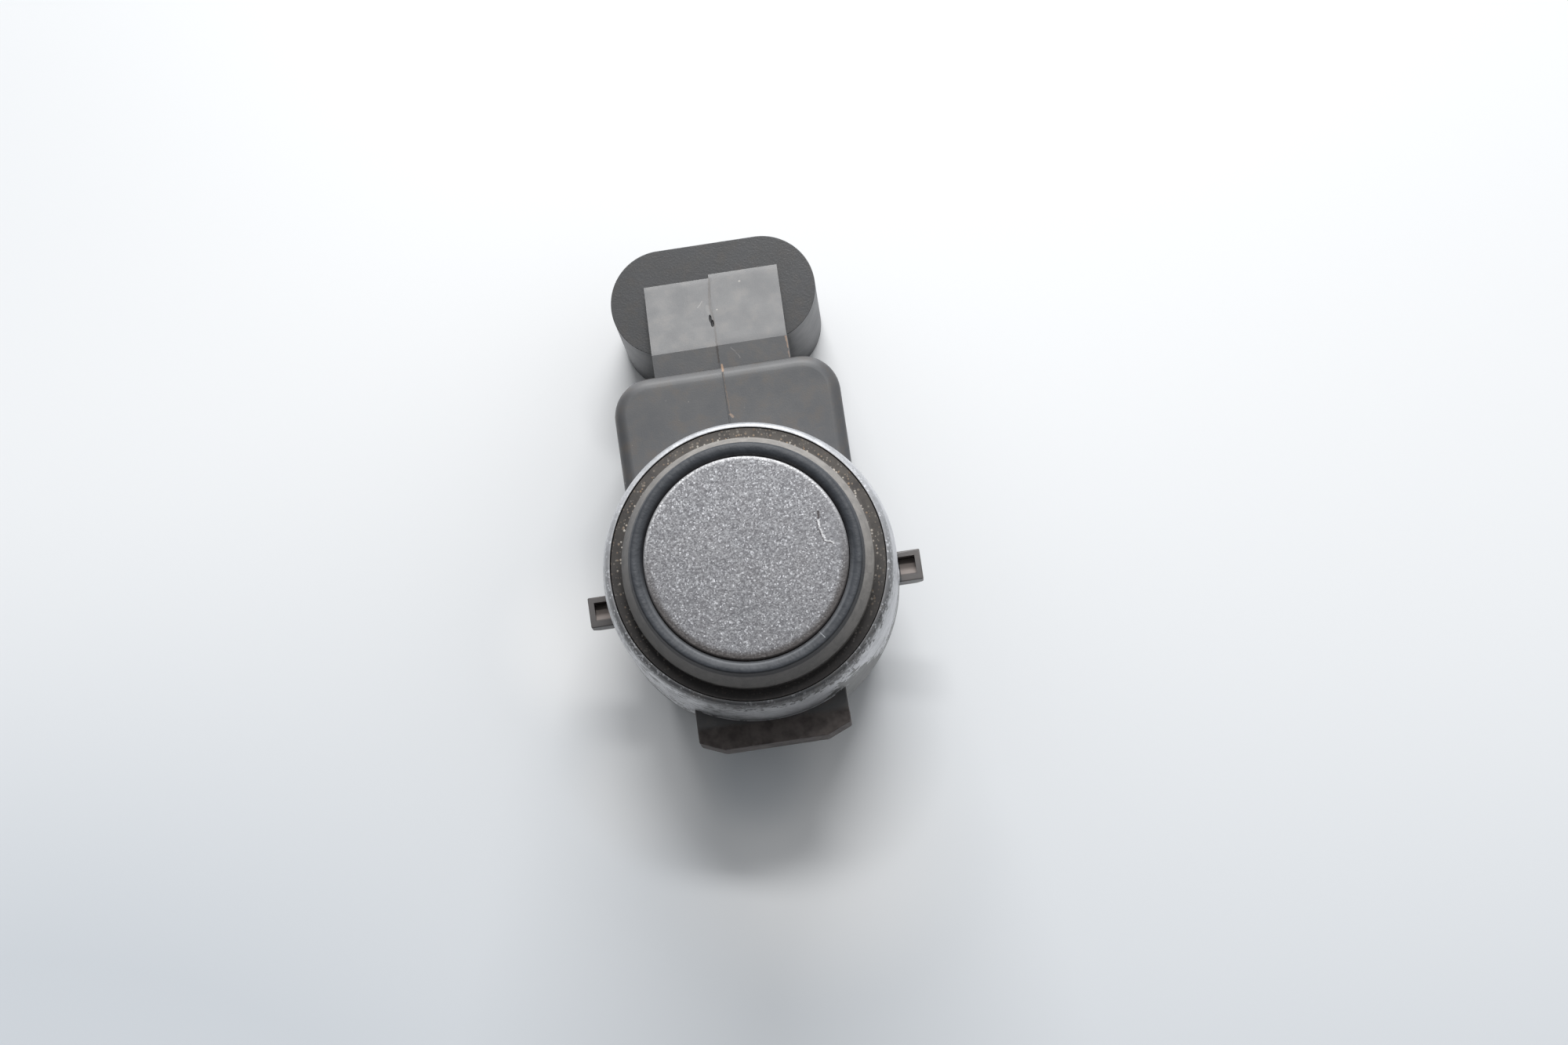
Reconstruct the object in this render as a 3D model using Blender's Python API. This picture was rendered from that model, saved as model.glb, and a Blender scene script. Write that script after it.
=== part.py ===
"""Ultrasonic parking sensor: a painted membrane cup in a soft ring, held by a one-piece
plastic housing with a barrel, an electronics box and a plug socket beside it.

The origin is the centre of the membrane's front face. +Z is the way the sound leaves,
+Y runs from the barrel towards the plug socket, and lengths are in metres.
"""

import math

import bmesh
import bpy

MM = 0.001

# Clearance that pieces keep where they seat on or pass through each other
FIT_GAP = 0.1 * MM

# Membrane cup, turned from aluminium
MEMBRANE_RADIUS = 7.75 * MM
MEMBRANE_THICKNESS = 0.8 * MM
MEMBRANE_EDGE_ROUND = 0.35 * MM
CUP_WALL = 1.4 * MM
CUP_FLANGE_REACH = 0.75 * MM
CUP_FLANGE_HEIGHT = 1.1 * MM

# Soft ring round the cup: widths are measured outwards from the membrane's edge,
# depths down from its face
RING_CREST_WIDTH = 0.67 * MM
RING_CREST_ROUND = 0.45 * MM
RING_LIP_WIDTH = 1.85 * MM
RING_BASE_WIDTH = 2.65 * MM
RING_CREST_DEPTH = 0.35 * MM
RING_INNER_DEPTH = 0.7 * MM
RING_LIP_DEPTH = 2.4 * MM
RING_GROOVE_DEPTH = 3.6 * MM
RING_BASE_HEIGHT = 4.1 * MM

# Parts inside the cup and under it
PIEZO_RADIUS = 4.0 * MM
PIEZO_THICKNESS = 0.3 * MM
FOAM_HEIGHT = 6.0 * MM
SUPPORT_HEIGHT = 1.9 * MM
SUPPORT_WIDTH = 2.0 * MM
LEAD_DIAMETER = 0.5 * MM
LEAD_SPACING = 3.6 * MM

# Barrel of the housing
BARREL_WALL = 0.8 * MM
BARREL_DEPTH = 16.2 * MM
RIM_DEPTH = 3.2 * MM
RIM_FLAT = 0.25 * MM
RIM_TAPER_HEIGHT = 2.6 * MM
LEDGE_THICKNESS = 1.5 * MM

# Electronics box, open at the rear
HOUSING_DEPTH = 28.0 * MM
SHOULDER_DEPTH = 9.6 * MM
BOX_WIDTH = 17.8 * MM
BOX_EXTENSION = 5.4 * MM
BOX_SETBACK = 2.9 * MM
BOX_FRONT_CORNER = 3.0 * MM
BOX_BACK_CORNER = 4.8 * MM
BOX_EDGE_ROUND = 0.75 * MM
BOX_WALL = 1.3 * MM
BOARD_LEDGE = 0.8 * MM
ROOF_THICKNESS = 1.5 * MM

# Plug socket beside the box, and the neck that joins them
SOCKET_GAP = 2.2 * MM
SOCKET_WIDTH = 16.3 * MM
SOCKET_BREADTH = 8.5 * MM
SOCKET_TOP_DEPTH = 13.5 * MM
SOCKET_WALL = 1.1 * MM
SOCKET_FLOOR = 1.5 * MM
SOCKET_EDGE_ROUND = 0.3 * MM
NECK_WIDTH = 10.7 * MM
NECK_DROP = 0.9 * MM
NECK_FLOOR = 0.6 * MM
RAMP_LENGTH = 6.4 * MM
RAMP_OVERHANG = 0.4 * MM
MOULD_STEP = 0.14 * MM
MOULD_LINE = -0.15 * MM
RIB_WIDTH = 0.9 * MM
RIB_HEIGHT = 0.5 * MM
RIB_SPACING = 6.0 * MM
RIB_SETBACK = 2.0 * MM
NOSE_WIDTH = 4.0 * MM
NOSE_HEIGHT = 1.1 * MM
NOSE_LENGTH = 3.4 * MM
NOSE_FLAT = 0.6 * MM
NOSE_SETBACK = 3.4 * MM

# Side lugs and the key that guide the sensor into its holder
LUG_REACH = 1.8 * MM
LUG_WIDTH = 2.4 * MM
LUG_OFFSET = 0.7 * MM
LUG_DEPTH = 12.2 * MM
LUG_HEIGHT = 2.0 * MM
LUG_RIB = 0.45 * MM
LUG_POCKET_DEPTH = 1.4 * MM
LUG_LEDGE = 0.45 * MM
LUG_STEP = 0.5 * MM
KEY_WIDTH = 11.8 * MM
KEY_REACH = 1.85 * MM
KEY_HEIGHT = 3.5 * MM
KEY_CORNER_X = 1.9 * MM
KEY_CORNER_Y = 0.8 * MM

# Circuit board, its parts and the sealing compound behind it
BOARD_ROOM = 8.0 * MM
BOARD_THICKNESS = 1.0 * MM
POTTING_RECESS = 0.5 * MM
PIN_SIZE = 0.64 * MM
PIN_PITCH = 3.6 * MM
PIN_RECESS = 5.5 * MM
PIN_TIP = 0.6 * MM
PIN_TAIL = 0.8 * MM
PIN_ROW_INSET = 1.4 * MM
CHIP_LENGTH = 9.0 * MM
CHIP_WIDTH = 4.6 * MM
CHIP_HEIGHT = 1.7 * MM
CHIP_LEG_COUNT = 8
CHIP_LEG_REACH = 0.9 * MM
CHIP_LEG_WIDTH = 0.45 * MM
CHIP_LEG_THICKNESS = 0.3 * MM
TRANSFORMER_SIZE = 5.6 * MM
TRANSFORMER_BASE_HEIGHT = 1.0 * MM
TRANSFORMER_CORE_HEIGHT = 3.6 * MM
CAPACITOR_COUNT = 3
CAPACITOR_LENGTH = 2.0 * MM
CAPACITOR_WIDTH = 1.25 * MM
CAPACITOR_HEIGHT = 1.2 * MM
RESISTOR_COUNT = 2
RESISTOR_LENGTH = 2.0 * MM
RESISTOR_WIDTH = 1.25 * MM
RESISTOR_HEIGHT = 0.6 * MM
CHIP_PART_CAP = 0.5 * MM
CHIP_PART_STEP = 0.06 * MM
PART_SPACING = 1.0 * MM

# How finely round shapes are cut, and how far joined shapes run into each other
ROUND_STEPS = 96
SMALL_ROUND_STEPS = 24
CORNER_STEPS = 8
LEAD_BEND_STEPS = 10
OVERLAP = 0.5 * MM
SMOOTH_ANGLE = math.radians(35)

# Radii that follow from the cup outwards
cup_inner_radius = MEMBRANE_RADIUS - CUP_WALL
cup_flange_radius = MEMBRANE_RADIUS + CUP_FLANGE_REACH
ring_base_radius = MEMBRANE_RADIUS + RING_BASE_WIDTH
bore_radius = ring_base_radius + FIT_GAP
barrel_radius = bore_radius + BARREL_WALL
flange_bore_radius = cup_flange_radius + FIT_GAP
ledge_hole_radius = flange_bore_radius - SUPPORT_WIDTH - FIT_GAP

# Heights that follow from the face downwards
ring_foot_z = -RING_GROOVE_DEPTH - RING_BASE_HEIGHT
ring_seat_z = ring_foot_z - FIT_GAP
cup_flange_z = ring_seat_z
cup_foot_z = cup_flange_z - CUP_FLANGE_HEIGHT
support_top_z = cup_foot_z - FIT_GAP
support_foot_z = support_top_z - SUPPORT_HEIGHT
ledge_z = support_foot_z - FIT_GAP
cavity_top_z = ledge_z - LEDGE_THICKNESS
board_top_z = cavity_top_z - BOARD_ROOM
board_foot_z = board_top_z - BOARD_THICKNESS
board_seat_z = board_top_z + FIT_GAP
potting_top_z = board_foot_z - FIT_GAP
potting_foot_z = -HOUSING_DEPTH + POTTING_RECESS
parts_z = board_top_z + FIT_GAP
transformer_core_z = parts_z + TRANSFORMER_BASE_HEIGHT + FIT_GAP

# Places in plan that follow from the barrel towards the socket
box_reach = barrel_radius + BOX_EXTENSION
box_back = barrel_radius - BOX_SETBACK
socket_near_y = box_reach + SOCKET_GAP
socket_y = socket_near_y + SOCKET_BREADTH / 2
ramp_crest_y = socket_near_y - RAMP_OVERHANG
neck_top_z = -SHOULDER_DEPTH - NECK_DROP
socket_top_z = -SOCKET_TOP_DEPTH
socket_floor_z = socket_top_z - SOCKET_FLOOR
neck_floor_z = socket_floor_z - NECK_FLOOR
pin_cross_z = socket_top_z - SOCKET_FLOOR / 2

# The room over the board, and the places of the parts that stand in it
cavity_inset = BOX_WALL + BOARD_LEDGE
cavity_half = BOX_WIDTH / 2 - cavity_inset
cavity_reach = box_reach - cavity_inset
cavity_back = cavity_inset - box_back
pin_row_y = cavity_reach - PIN_ROW_INSET
chip_y = pin_row_y - PIN_SIZE / 2 - PART_SPACING - CHIP_LEG_REACH - CHIP_WIDTH / 2
transformer_x = PART_SPACING + TRANSFORMER_SIZE / 2 - cavity_half
transformer_y = cavity_back + PART_SPACING + TRANSFORMER_SIZE / 2
lead_landing_y = transformer_y + TRANSFORMER_SIZE / 2 + PART_SPACING + LEAD_DIAMETER / 2
capacitor_x = cavity_half - PART_SPACING - CAPACITOR_WIDTH / 2
capacitor_y = cavity_back + PART_SPACING + CAPACITOR_LENGTH / 2
resistor_x = PART_SPACING + RESISTOR_LENGTH / 2 - cavity_half
resistor_y = transformer_y + TRANSFORMER_SIZE / 2 + PART_SPACING + RESISTOR_WIDTH / 2


def clear_scene():
    for obj in list(bpy.data.objects):
        bpy.data.objects.remove(obj)


def finish_material(name, colour, roughness, metallic=0.0):
    material = bpy.data.materials.new(name)
    material.use_nodes = True
    shader = material.node_tree.nodes["Principled BSDF"]
    shader.inputs["Base Color"].default_value = (*colour, 1.0)
    shader.inputs["Roughness"].default_value = roughness
    shader.inputs["Metallic"].default_value = metallic
    return material


def solid(name, bm, material=None):
    """An object with this mesh, its faces turned outwards and shaded smooth over round stretches."""
    bmesh.ops.remove_doubles(bm, verts=bm.verts, dist=0.001 * MM)
    bmesh.ops.recalc_face_normals(bm, faces=bm.faces)
    mesh = bpy.data.meshes.new(name)
    bm.to_mesh(mesh)
    bm.free()
    mesh.shade_smooth()
    mesh.set_sharp_from_angle(angle=SMOOTH_ANGLE)
    obj = bpy.data.objects.new(name, mesh)
    bpy.context.scene.collection.objects.link(obj)
    if material:
        mesh.materials.append(material)
    return obj


def combine(target, helper, operation):
    """Adds the helper to the target or cuts it away, and hides the helper from the render."""
    helper.hide_render = True
    helper.display_type = "WIRE"
    step = target.modifiers.new(helper.name, "BOOLEAN")
    step.object = helper
    step.operation = operation
    step.solver = "EXACT"


def join(target, *helpers):
    for helper in helpers:
        combine(target, helper, "UNION")


def cut(target, *helpers):
    for helper in helpers:
        combine(target, helper, "DIFFERENCE")


def arc(centre, radius, start, end, steps):
    """Points on an arc, with its angles in degrees."""
    angles = [math.radians(start + (end - start) * i / steps) for i in range(steps + 1)]
    return [(centre[0] + radius * math.cos(a), centre[1] + radius * math.sin(a)) for a in angles]


def rounded_outline(half_width, low_y, high_y, low_corner, high_corner):
    """A rectangle in plan with one corner radius at each end."""
    corners = (
        (half_width - high_corner, high_y - high_corner, high_corner, 0),
        (-half_width + high_corner, high_y - high_corner, high_corner, 90),
        (-half_width + low_corner, low_y + low_corner, low_corner, 180),
        (half_width - low_corner, low_y + low_corner, low_corner, 270),
    )
    points = []
    for x, y, radius, start in corners:
        points += arc((x, y), radius, start, start + 90, CORNER_STEPS)
    return points


def stadium_outline(width, breadth, y):
    """A slot shape in plan: two half circles and the straight sides between them."""
    radius = breadth / 2
    reach = width / 2 - radius
    steps = 2 * CORNER_STEPS
    return arc((reach, y), radius, -90, 90, steps) + arc((-reach, y), radius, 90, 270, steps)


def turned(profile, steps=ROUND_STEPS):
    """A profile of (radius, z) points turned round the Z axis."""
    bm = bmesh.new()
    verts = [bm.verts.new((radius, 0, z)) for radius, z in profile]
    edges = [bm.edges.new(pair) for pair in zip(verts, verts[1:] + verts[:1])]
    bmesh.ops.spin(
        bm,
        geom=verts + edges,
        cent=(0, 0, 0),
        axis=(0, 0, 1),
        angle=2 * math.pi,
        steps=steps,
        use_merge=True,
    )
    bmesh.ops.remove_doubles(bm, verts=bm.verts, dist=0.001 * MM)
    bmesh.ops.dissolve_degenerate(bm, edges=bm.edges, dist=0.001 * MM)
    return bm


def extruded(corners, travel):
    """A flat outline of 3-D corners, drawn out along a vector."""
    bm = bmesh.new()
    face = bm.faces.new([bm.verts.new(corner) for corner in corners])
    made = bmesh.ops.extrude_face_region(bm, geom=[face])["geom"]
    verts = [item for item in made if isinstance(item, bmesh.types.BMVert)]
    bmesh.ops.translate(bm, verts=verts, vec=travel)
    return bm


def upright(outline, low_z, high_z):
    """A prism that stands along Z on an outline of (x, y) points."""
    return extruded([(x, y, low_z) for x, y in outline], (0, 0, high_z - low_z))


def crosswise(outline, low_x, high_x):
    """A prism that lies along X, from an outline of (y, z) points."""
    return extruded([(low_x, y, z) for y, z in outline], (high_x - low_x, 0, 0))


def block(low, high):
    """A box between two corners."""
    outline = ((low[0], low[1]), (high[0], low[1]), (high[0], high[1]), (low[0], high[1]))
    return upright(outline, low[2], high[2])


def round_top_edge(bm, z, radius, segments=3):
    """Rounds the edges that lie at height z."""
    edges = [e for e in bm.edges if all(abs(v.co.z - z) < 0.001 * MM for v in e.verts)]
    bmesh.ops.bevel(
        bm, geom=edges, offset=radius, segments=segments, profile=0.5, affect="EDGES", material=-1
    )
    return bm


def make_membrane_cup(material):
    """A pot with a thin front, a stiff wall and a flange at its foot."""
    inner = cup_inner_radius
    edge = arc(
        (MEMBRANE_RADIUS - MEMBRANE_EDGE_ROUND, -MEMBRANE_EDGE_ROUND),
        MEMBRANE_EDGE_ROUND,
        90,
        0,
        3,
    )
    profile = [(0, 0)] + edge
    profile += [
        (MEMBRANE_RADIUS, cup_flange_z),
        (cup_flange_radius, cup_flange_z),
        (cup_flange_radius, cup_foot_z),
        (inner, cup_foot_z),
        (inner, -MEMBRANE_THICKNESS),
        (0, -MEMBRANE_THICKNESS),
    ]
    return solid("membrane_cup", turned(profile), material)


def make_decoupling_ring(material):
    """A soft ring with a raised lip that hugs the cup, and a base that seats in the barrel."""
    inner = MEMBRANE_RADIUS + FIT_GAP
    crest = (MEMBRANE_RADIUS + RING_CREST_WIDTH, -RING_CREST_DEPTH - RING_CREST_ROUND)
    lip = MEMBRANE_RADIUS + RING_LIP_WIDTH
    profile = [(inner, ring_foot_z), (inner, -RING_INNER_DEPTH)]
    profile += arc(crest, RING_CREST_ROUND, 150, 20, 6)
    profile += [
        (lip, -RING_LIP_DEPTH),
        (lip, -RING_GROOVE_DEPTH),
        (ring_base_radius, -RING_GROOVE_DEPTH),
        (ring_base_radius, ring_foot_z),
    ]
    return solid("decoupling_ring", turned(profile), material)


def make_transducer_parts(ceramic, foam, rubber):
    """The piezo disc behind the membrane, the foam behind it, and the pad under the cup."""
    piezo_top = -MEMBRANE_THICKNESS - FIT_GAP
    piezo_foot = piezo_top - PIEZO_THICKNESS
    disc = [(0, piezo_top), (PIEZO_RADIUS, piezo_top), (PIEZO_RADIUS, piezo_foot), (0, piezo_foot)]
    solid("piezo_disc", turned(disc, SMALL_ROUND_STEPS), ceramic)

    foam_top = piezo_foot - FIT_GAP
    foam_radius = cup_inner_radius - FIT_GAP
    foam_foot = foam_top - FOAM_HEIGHT
    plug = [(0, foam_top), (foam_radius, foam_top), (foam_radius, foam_foot), (0, foam_foot)]
    damper = solid("damping_foam", turned(plug, 2 * SMALL_ROUND_STEPS), foam)
    for side in (-1, 1):
        hole = LEAD_DIAMETER / 2 + FIT_GAP
        outline = arc((side * LEAD_SPACING / 2, 0), hole, 0, 330, 11)
        cut(damper, solid(f"lead_hole_{side}", upright(outline, foam_foot - OVERLAP, foam_top + OVERLAP)))

    outer = flange_bore_radius - FIT_GAP
    inner = outer - SUPPORT_WIDTH
    pad = [
        (inner, support_foot_z),
        (outer, support_foot_z),
        (outer, support_top_z),
        (inner, support_top_z),
    ]
    solid("support_pad", turned(pad), rubber)
    return piezo_foot


def make_lead_wire(name, side, top_z, material):
    """A thin wire that leaves the foam straight and bends over to its pad on the board."""
    x = side * LEAD_SPACING / 2
    bend_top_z = top_z - FOAM_HEIGHT - 2 * OVERLAP
    bend_foot_z = transformer_core_z + TRANSFORMER_CORE_HEIGHT
    points = [(x, 0, top_z - FIT_GAP)]
    for i in range(LEAD_BEND_STEPS + 1):
        t = i / LEAD_BEND_STEPS
        y = lead_landing_y * (1 - math.cos(math.pi * t)) / 2
        points.append((x, y, bend_top_z + (bend_foot_z - bend_top_z) * t))
    points.append((x, lead_landing_y, parts_z))
    curve = bpy.data.curves.new(name, "CURVE")
    curve.dimensions = "3D"
    curve.bevel_depth = LEAD_DIAMETER / 2
    curve.bevel_resolution = 2
    curve.use_fill_caps = True
    spline = curve.splines.new("POLY")
    spline.points.add(len(points) - 1)
    for target, point in zip(spline.points, points):
        target.co = (*point, 1)
    curve.materials.append(material)
    obj = bpy.data.objects.new(name, curve)
    bpy.context.scene.collection.objects.link(obj)


def barrel_shape():
    """The outside of the barrel: a flat rim, a lead-in taper and a plain cylinder."""
    rim_outer = bore_radius + RIM_FLAT
    profile = [
        (0, -RIM_DEPTH),
        (rim_outer, -RIM_DEPTH),
        (barrel_radius, -RIM_DEPTH - RIM_TAPER_HEIGHT),
        (barrel_radius, -BARREL_DEPTH),
        (0, -BARREL_DEPTH),
    ]
    return turned(profile)


def barrel_bore():
    """Everything cut from the front: the ring's seat, the flange's seat and the hole for the leads."""
    profile = [
        (0, -RIM_DEPTH + OVERLAP),
        (bore_radius, -RIM_DEPTH + OVERLAP),
        (bore_radius, ring_seat_z),
        (flange_bore_radius, ring_seat_z),
        (flange_bore_radius, ledge_z),
        (ledge_hole_radius, ledge_z),
        (ledge_hole_radius, cavity_top_z - OVERLAP),
        (0, cavity_top_z - OVERLAP),
    ]
    return turned(profile)


def box_shape():
    """The electronics box, with its front edge rounded."""
    outline = rounded_outline(
        BOX_WIDTH / 2, -box_back, box_reach, BOX_BACK_CORNER, BOX_FRONT_CORNER
    )
    bm = upright(outline, -HOUSING_DEPTH, -SHOULDER_DEPTH)
    return round_top_edge(bm, -SHOULDER_DEPTH, BOX_EDGE_ROUND)


def cavity_shape(inset, low_z, high_z):
    """A pocket that follows the box's outline at some distance inside it."""
    outline = rounded_outline(
        BOX_WIDTH / 2 - inset,
        inset - box_back,
        box_reach - inset,
        BOX_BACK_CORNER - inset,
        BOX_FRONT_CORNER - min(inset, BOX_FRONT_CORNER * 0.8),
    )
    return upright(outline, low_z, high_z)


def neck_shape(drop, low_x, high_x):
    """The bridge from box to socket, with the ramp that runs down onto the socket's closed end."""
    slope = (neck_top_z - socket_top_z) / RAMP_LENGTH
    crest_z = neck_top_z - drop
    buried_z = socket_top_z - SOCKET_FLOOR / 2
    ramp_end_y = ramp_crest_y + (crest_z - buried_z) / slope
    outline = (
        (box_reach - BOX_WALL / 2, crest_z),
        (ramp_crest_y, crest_z),
        (ramp_end_y, buried_z),
        (socket_near_y + SOCKET_WALL / 2, buried_z),
        (socket_near_y + SOCKET_WALL / 2, neck_floor_z),
        (box_reach - BOX_WALL / 2, neck_floor_z),
    )
    return crosswise(outline, low_x, high_x)


def socket_shape():
    """The outside of the plug socket, closed at its front end."""
    bm = upright(stadium_outline(SOCKET_WIDTH, SOCKET_BREADTH, socket_y), -HOUSING_DEPTH, socket_top_z)
    return round_top_edge(bm, socket_top_z, SOCKET_EDGE_ROUND, 2)


def socket_hollow():
    outline = stadium_outline(
        SOCKET_WIDTH - 2 * SOCKET_WALL, SOCKET_BREADTH - 2 * SOCKET_WALL, socket_y
    )
    return upright(outline, -HOUSING_DEPTH - OVERLAP, socket_floor_z)


def locking_nose():
    """The wedge on the socket's far side that a plug's latch rides over and hooks behind."""
    wall_y = socket_near_y + SOCKET_BREADTH
    low_z = -HOUSING_DEPTH + NOSE_SETBACK
    high_z = low_z + NOSE_LENGTH
    outline = (
        (wall_y - SOCKET_WALL / 2, low_z),
        (wall_y, low_z),
        (wall_y + NOSE_HEIGHT, high_z - NOSE_FLAT),
        (wall_y + NOSE_HEIGHT, high_z),
        (wall_y - SOCKET_WALL / 2, high_z),
    )
    return crosswise(outline, -NOSE_WIDTH / 2, NOSE_WIDTH / 2)


def plug_rib(side):
    """A coding rib on the socket's near inner wall."""
    x = side * RIB_SPACING / 2
    wall_y = socket_near_y + SOCKET_WALL
    low = (x - RIB_WIDTH / 2, wall_y - SOCKET_WALL / 2, -HOUSING_DEPTH + RIB_SETBACK)
    high = (x + RIB_WIDTH / 2, wall_y + RIB_HEIGHT, socket_floor_z + SOCKET_FLOOR / 3)
    return block(low, high)


def lug_shape(side):
    """A side lug that stands out of the barrel, with a short catch step below."""
    inner = barrel_radius - BARREL_WALL
    outer = barrel_radius + LUG_REACH
    far_y = LUG_WIDTH / 2 - LUG_OFFSET
    near_y = far_y - LUG_WIDTH
    top = -LUG_DEPTH
    foot = top - LUG_HEIGHT
    outline = [(inner, foot), (outer - LUG_STEP, foot), (outer, foot + LUG_STEP), (outer, top), (inner, top)]
    corners = [(side * x, near_y, z) for x, z in outline]
    return extruded(corners, (0, far_y - near_y, 0))


def lug_pocket(side):
    """The pocket in a lug's front face, deep at its rib and rising towards the key."""
    inner = barrel_radius
    outer = barrel_radius + LUG_REACH - LUG_RIB
    far_y = LUG_WIDTH / 2 - LUG_OFFSET - LUG_RIB
    near_y = far_y - LUG_WIDTH + LUG_RIB + LUG_LEDGE
    top = -LUG_DEPTH
    slope = LUG_POCKET_DEPTH / (far_y - near_y)
    outline = (
        (far_y, top + OVERLAP),
        (far_y, top - LUG_POCKET_DEPTH),
        (near_y - OVERLAP / slope, top + OVERLAP),
    )
    low, high = sorted((side * inner, side * outer))
    return crosswise(outline, low, high)


def key_shape():
    """The key opposite the socket, with its outer corners cut off."""
    half = KEY_WIDTH / 2
    outer = -barrel_radius - KEY_REACH
    inner = -barrel_radius + BARREL_WALL + half * half / (2 * barrel_radius)
    outline = (
        (-half, inner),
        (-half, outer + KEY_CORNER_Y),
        (-half + KEY_CORNER_X, outer),
        (half - KEY_CORNER_X, outer),
        (half, outer + KEY_CORNER_Y),
        (half, inner),
    )
    return upright(outline, -SHOULDER_DEPTH - KEY_HEIGHT, -SHOULDER_DEPTH)


def terminal_shape(x, spare):
    """A bent contact: a pin in the socket, a run through the neck and a leg through the board.
    A positive spare makes the channel that the contact lies in."""
    half = PIN_SIZE / 2 + spare
    tip_z = -HOUSING_DEPTH + PIN_RECESS - spare
    tail_z = board_foot_z - PIN_TAIL - spare
    point = PIN_SIZE / 4
    outline = (
        (socket_y - half, tip_z + PIN_TIP),
        (socket_y - half + point, tip_z),
        (socket_y + half - point, tip_z),
        (socket_y + half, tip_z + PIN_TIP),
        (socket_y + half, pin_cross_z + half),
        (pin_row_y - half, pin_cross_z + half),
        (pin_row_y - half, tail_z),
        (pin_row_y + half, tail_z),
        (pin_row_y + half, pin_cross_z - half),
        (socket_y - half, pin_cross_z - half),
    )
    return crosswise(outline, x - half, x + half)


def pin_places():
    return [i * PIN_PITCH for i in (-1, 0, 1)]


def make_housing(material):
    """The one-piece moulding: barrel, box, neck, socket, lugs and key."""
    housing = solid("housing", barrel_shape(), material)
    join(
        housing,
        solid("box_body", box_shape()),
        solid("socket_body", socket_shape()),
        solid("neck_low_half", neck_shape(MOULD_STEP, -NECK_WIDTH / 2, MOULD_LINE + OVERLAP)),
        solid("neck_high_half", neck_shape(0, MOULD_LINE, NECK_WIDTH / 2)),
        solid("key_body", key_shape()),
        solid("nose_body", locking_nose()),
    )
    for side in (-1, 1):
        join(housing, solid(f"lug_body_{side}", lug_shape(side)))
        cut(housing, solid(f"lug_pocket_{side}", lug_pocket(side)))
    relief_half = cavity_half - cavity_inset
    relief_low = (-relief_half, barrel_radius + BARREL_WALL, cavity_top_z - OVERLAP)
    relief_high = (relief_half, cavity_reach, -SHOULDER_DEPTH - ROOF_THICKNESS)
    cut(
        housing,
        solid("barrel_bore", barrel_bore()),
        solid("front_cavity", cavity_shape(cavity_inset, board_seat_z - OVERLAP, cavity_top_z)),
        solid("rear_cavity", cavity_shape(BOX_WALL, -HOUSING_DEPTH - OVERLAP, board_seat_z)),
        solid("roof_relief", block(relief_low, relief_high)),
        solid("socket_hollow", socket_hollow()),
    )
    for side in (-1, 1):
        join(housing, solid(f"plug_rib_{side}", plug_rib(side)))
    for x in pin_places():
        cut(housing, solid(f"terminal_channel_{x / MM:g}", terminal_shape(x, FIT_GAP)))


def make_terminals(material):
    for name, x in zip(("terminal_supply", "terminal_signal", "terminal_ground"), pin_places()):
        solid(name, terminal_shape(x, 0), material)


def make_board(material):
    board = solid("circuit_board", cavity_shape(BOX_WALL + FIT_GAP, board_foot_z, board_top_z), material)
    for x in pin_places():
        cut(board, solid(f"board_hole_{x / MM:g}", terminal_shape(x, FIT_GAP)))


def make_potting(material):
    """The sealing compound that fills the box behind the board."""
    potting = solid(
        "sealing_compound", cavity_shape(BOX_WALL + FIT_GAP, potting_foot_z, potting_top_z), material
    )
    for x in pin_places():
        cut(potting, solid(f"tail_pocket_{x / MM:g}", terminal_shape(x, FIT_GAP)))


def make_control_chip(material):
    """A flat package with a row of bent legs on each long side."""
    body_z = parts_z + CHIP_LEG_THICKNESS
    half = CHIP_WIDTH / 2
    low = (-CHIP_LENGTH / 2, chip_y - half, body_z)
    high = (CHIP_LENGTH / 2, chip_y + half, body_z + CHIP_HEIGHT)
    chip = solid("control_chip", block(low, high), material)
    pitch = CHIP_LENGTH / CHIP_LEG_COUNT
    middle = body_z + CHIP_HEIGHT / 2
    t = CHIP_LEG_THICKNESS
    for side in (-1, 1):
        wall = side * half
        knee = side * (half + CHIP_LEG_REACH / 2)
        toe = side * (half + CHIP_LEG_REACH)
        inner = wall - side * OVERLAP / 2
        outline = [
            (inner, middle + t / 2),
            (knee, middle + t / 2),
            (knee, parts_z + t),
            (toe, parts_z + t),
            (toe, parts_z),
            (knee - side * t, parts_z),
            (knee - side * t, middle - t / 2),
            (inner, middle - t / 2),
        ]
        outline = [(chip_y + y, z) for y, z in outline]
        for i in range(CHIP_LEG_COUNT):
            x = (i + 0.5) * pitch - CHIP_LENGTH / 2
            leg = crosswise(outline, x - CHIP_LEG_WIDTH / 2, x + CHIP_LEG_WIDTH / 2)
            join(chip, solid(f"chip_leg_{side}_{i}", leg))


def make_transformer(plastic, ferrite):
    """The small step-up transformer: a plastic foot and an eight-sided ferrite core on it."""
    half = TRANSFORMER_SIZE / 2
    low = (transformer_x - half, transformer_y - half, parts_z)
    high = (transformer_x + half, transformer_y + half, parts_z + TRANSFORMER_BASE_HEIGHT)
    solid("transformer_foot", block(low, high), plastic)
    outline = arc((transformer_x, transformer_y), half, 22.5, 337.5, 7)
    core = upright(outline, transformer_core_z, transformer_core_z + TRANSFORMER_CORE_HEIGHT)
    solid("transformer_core", core, ferrite)


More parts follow.
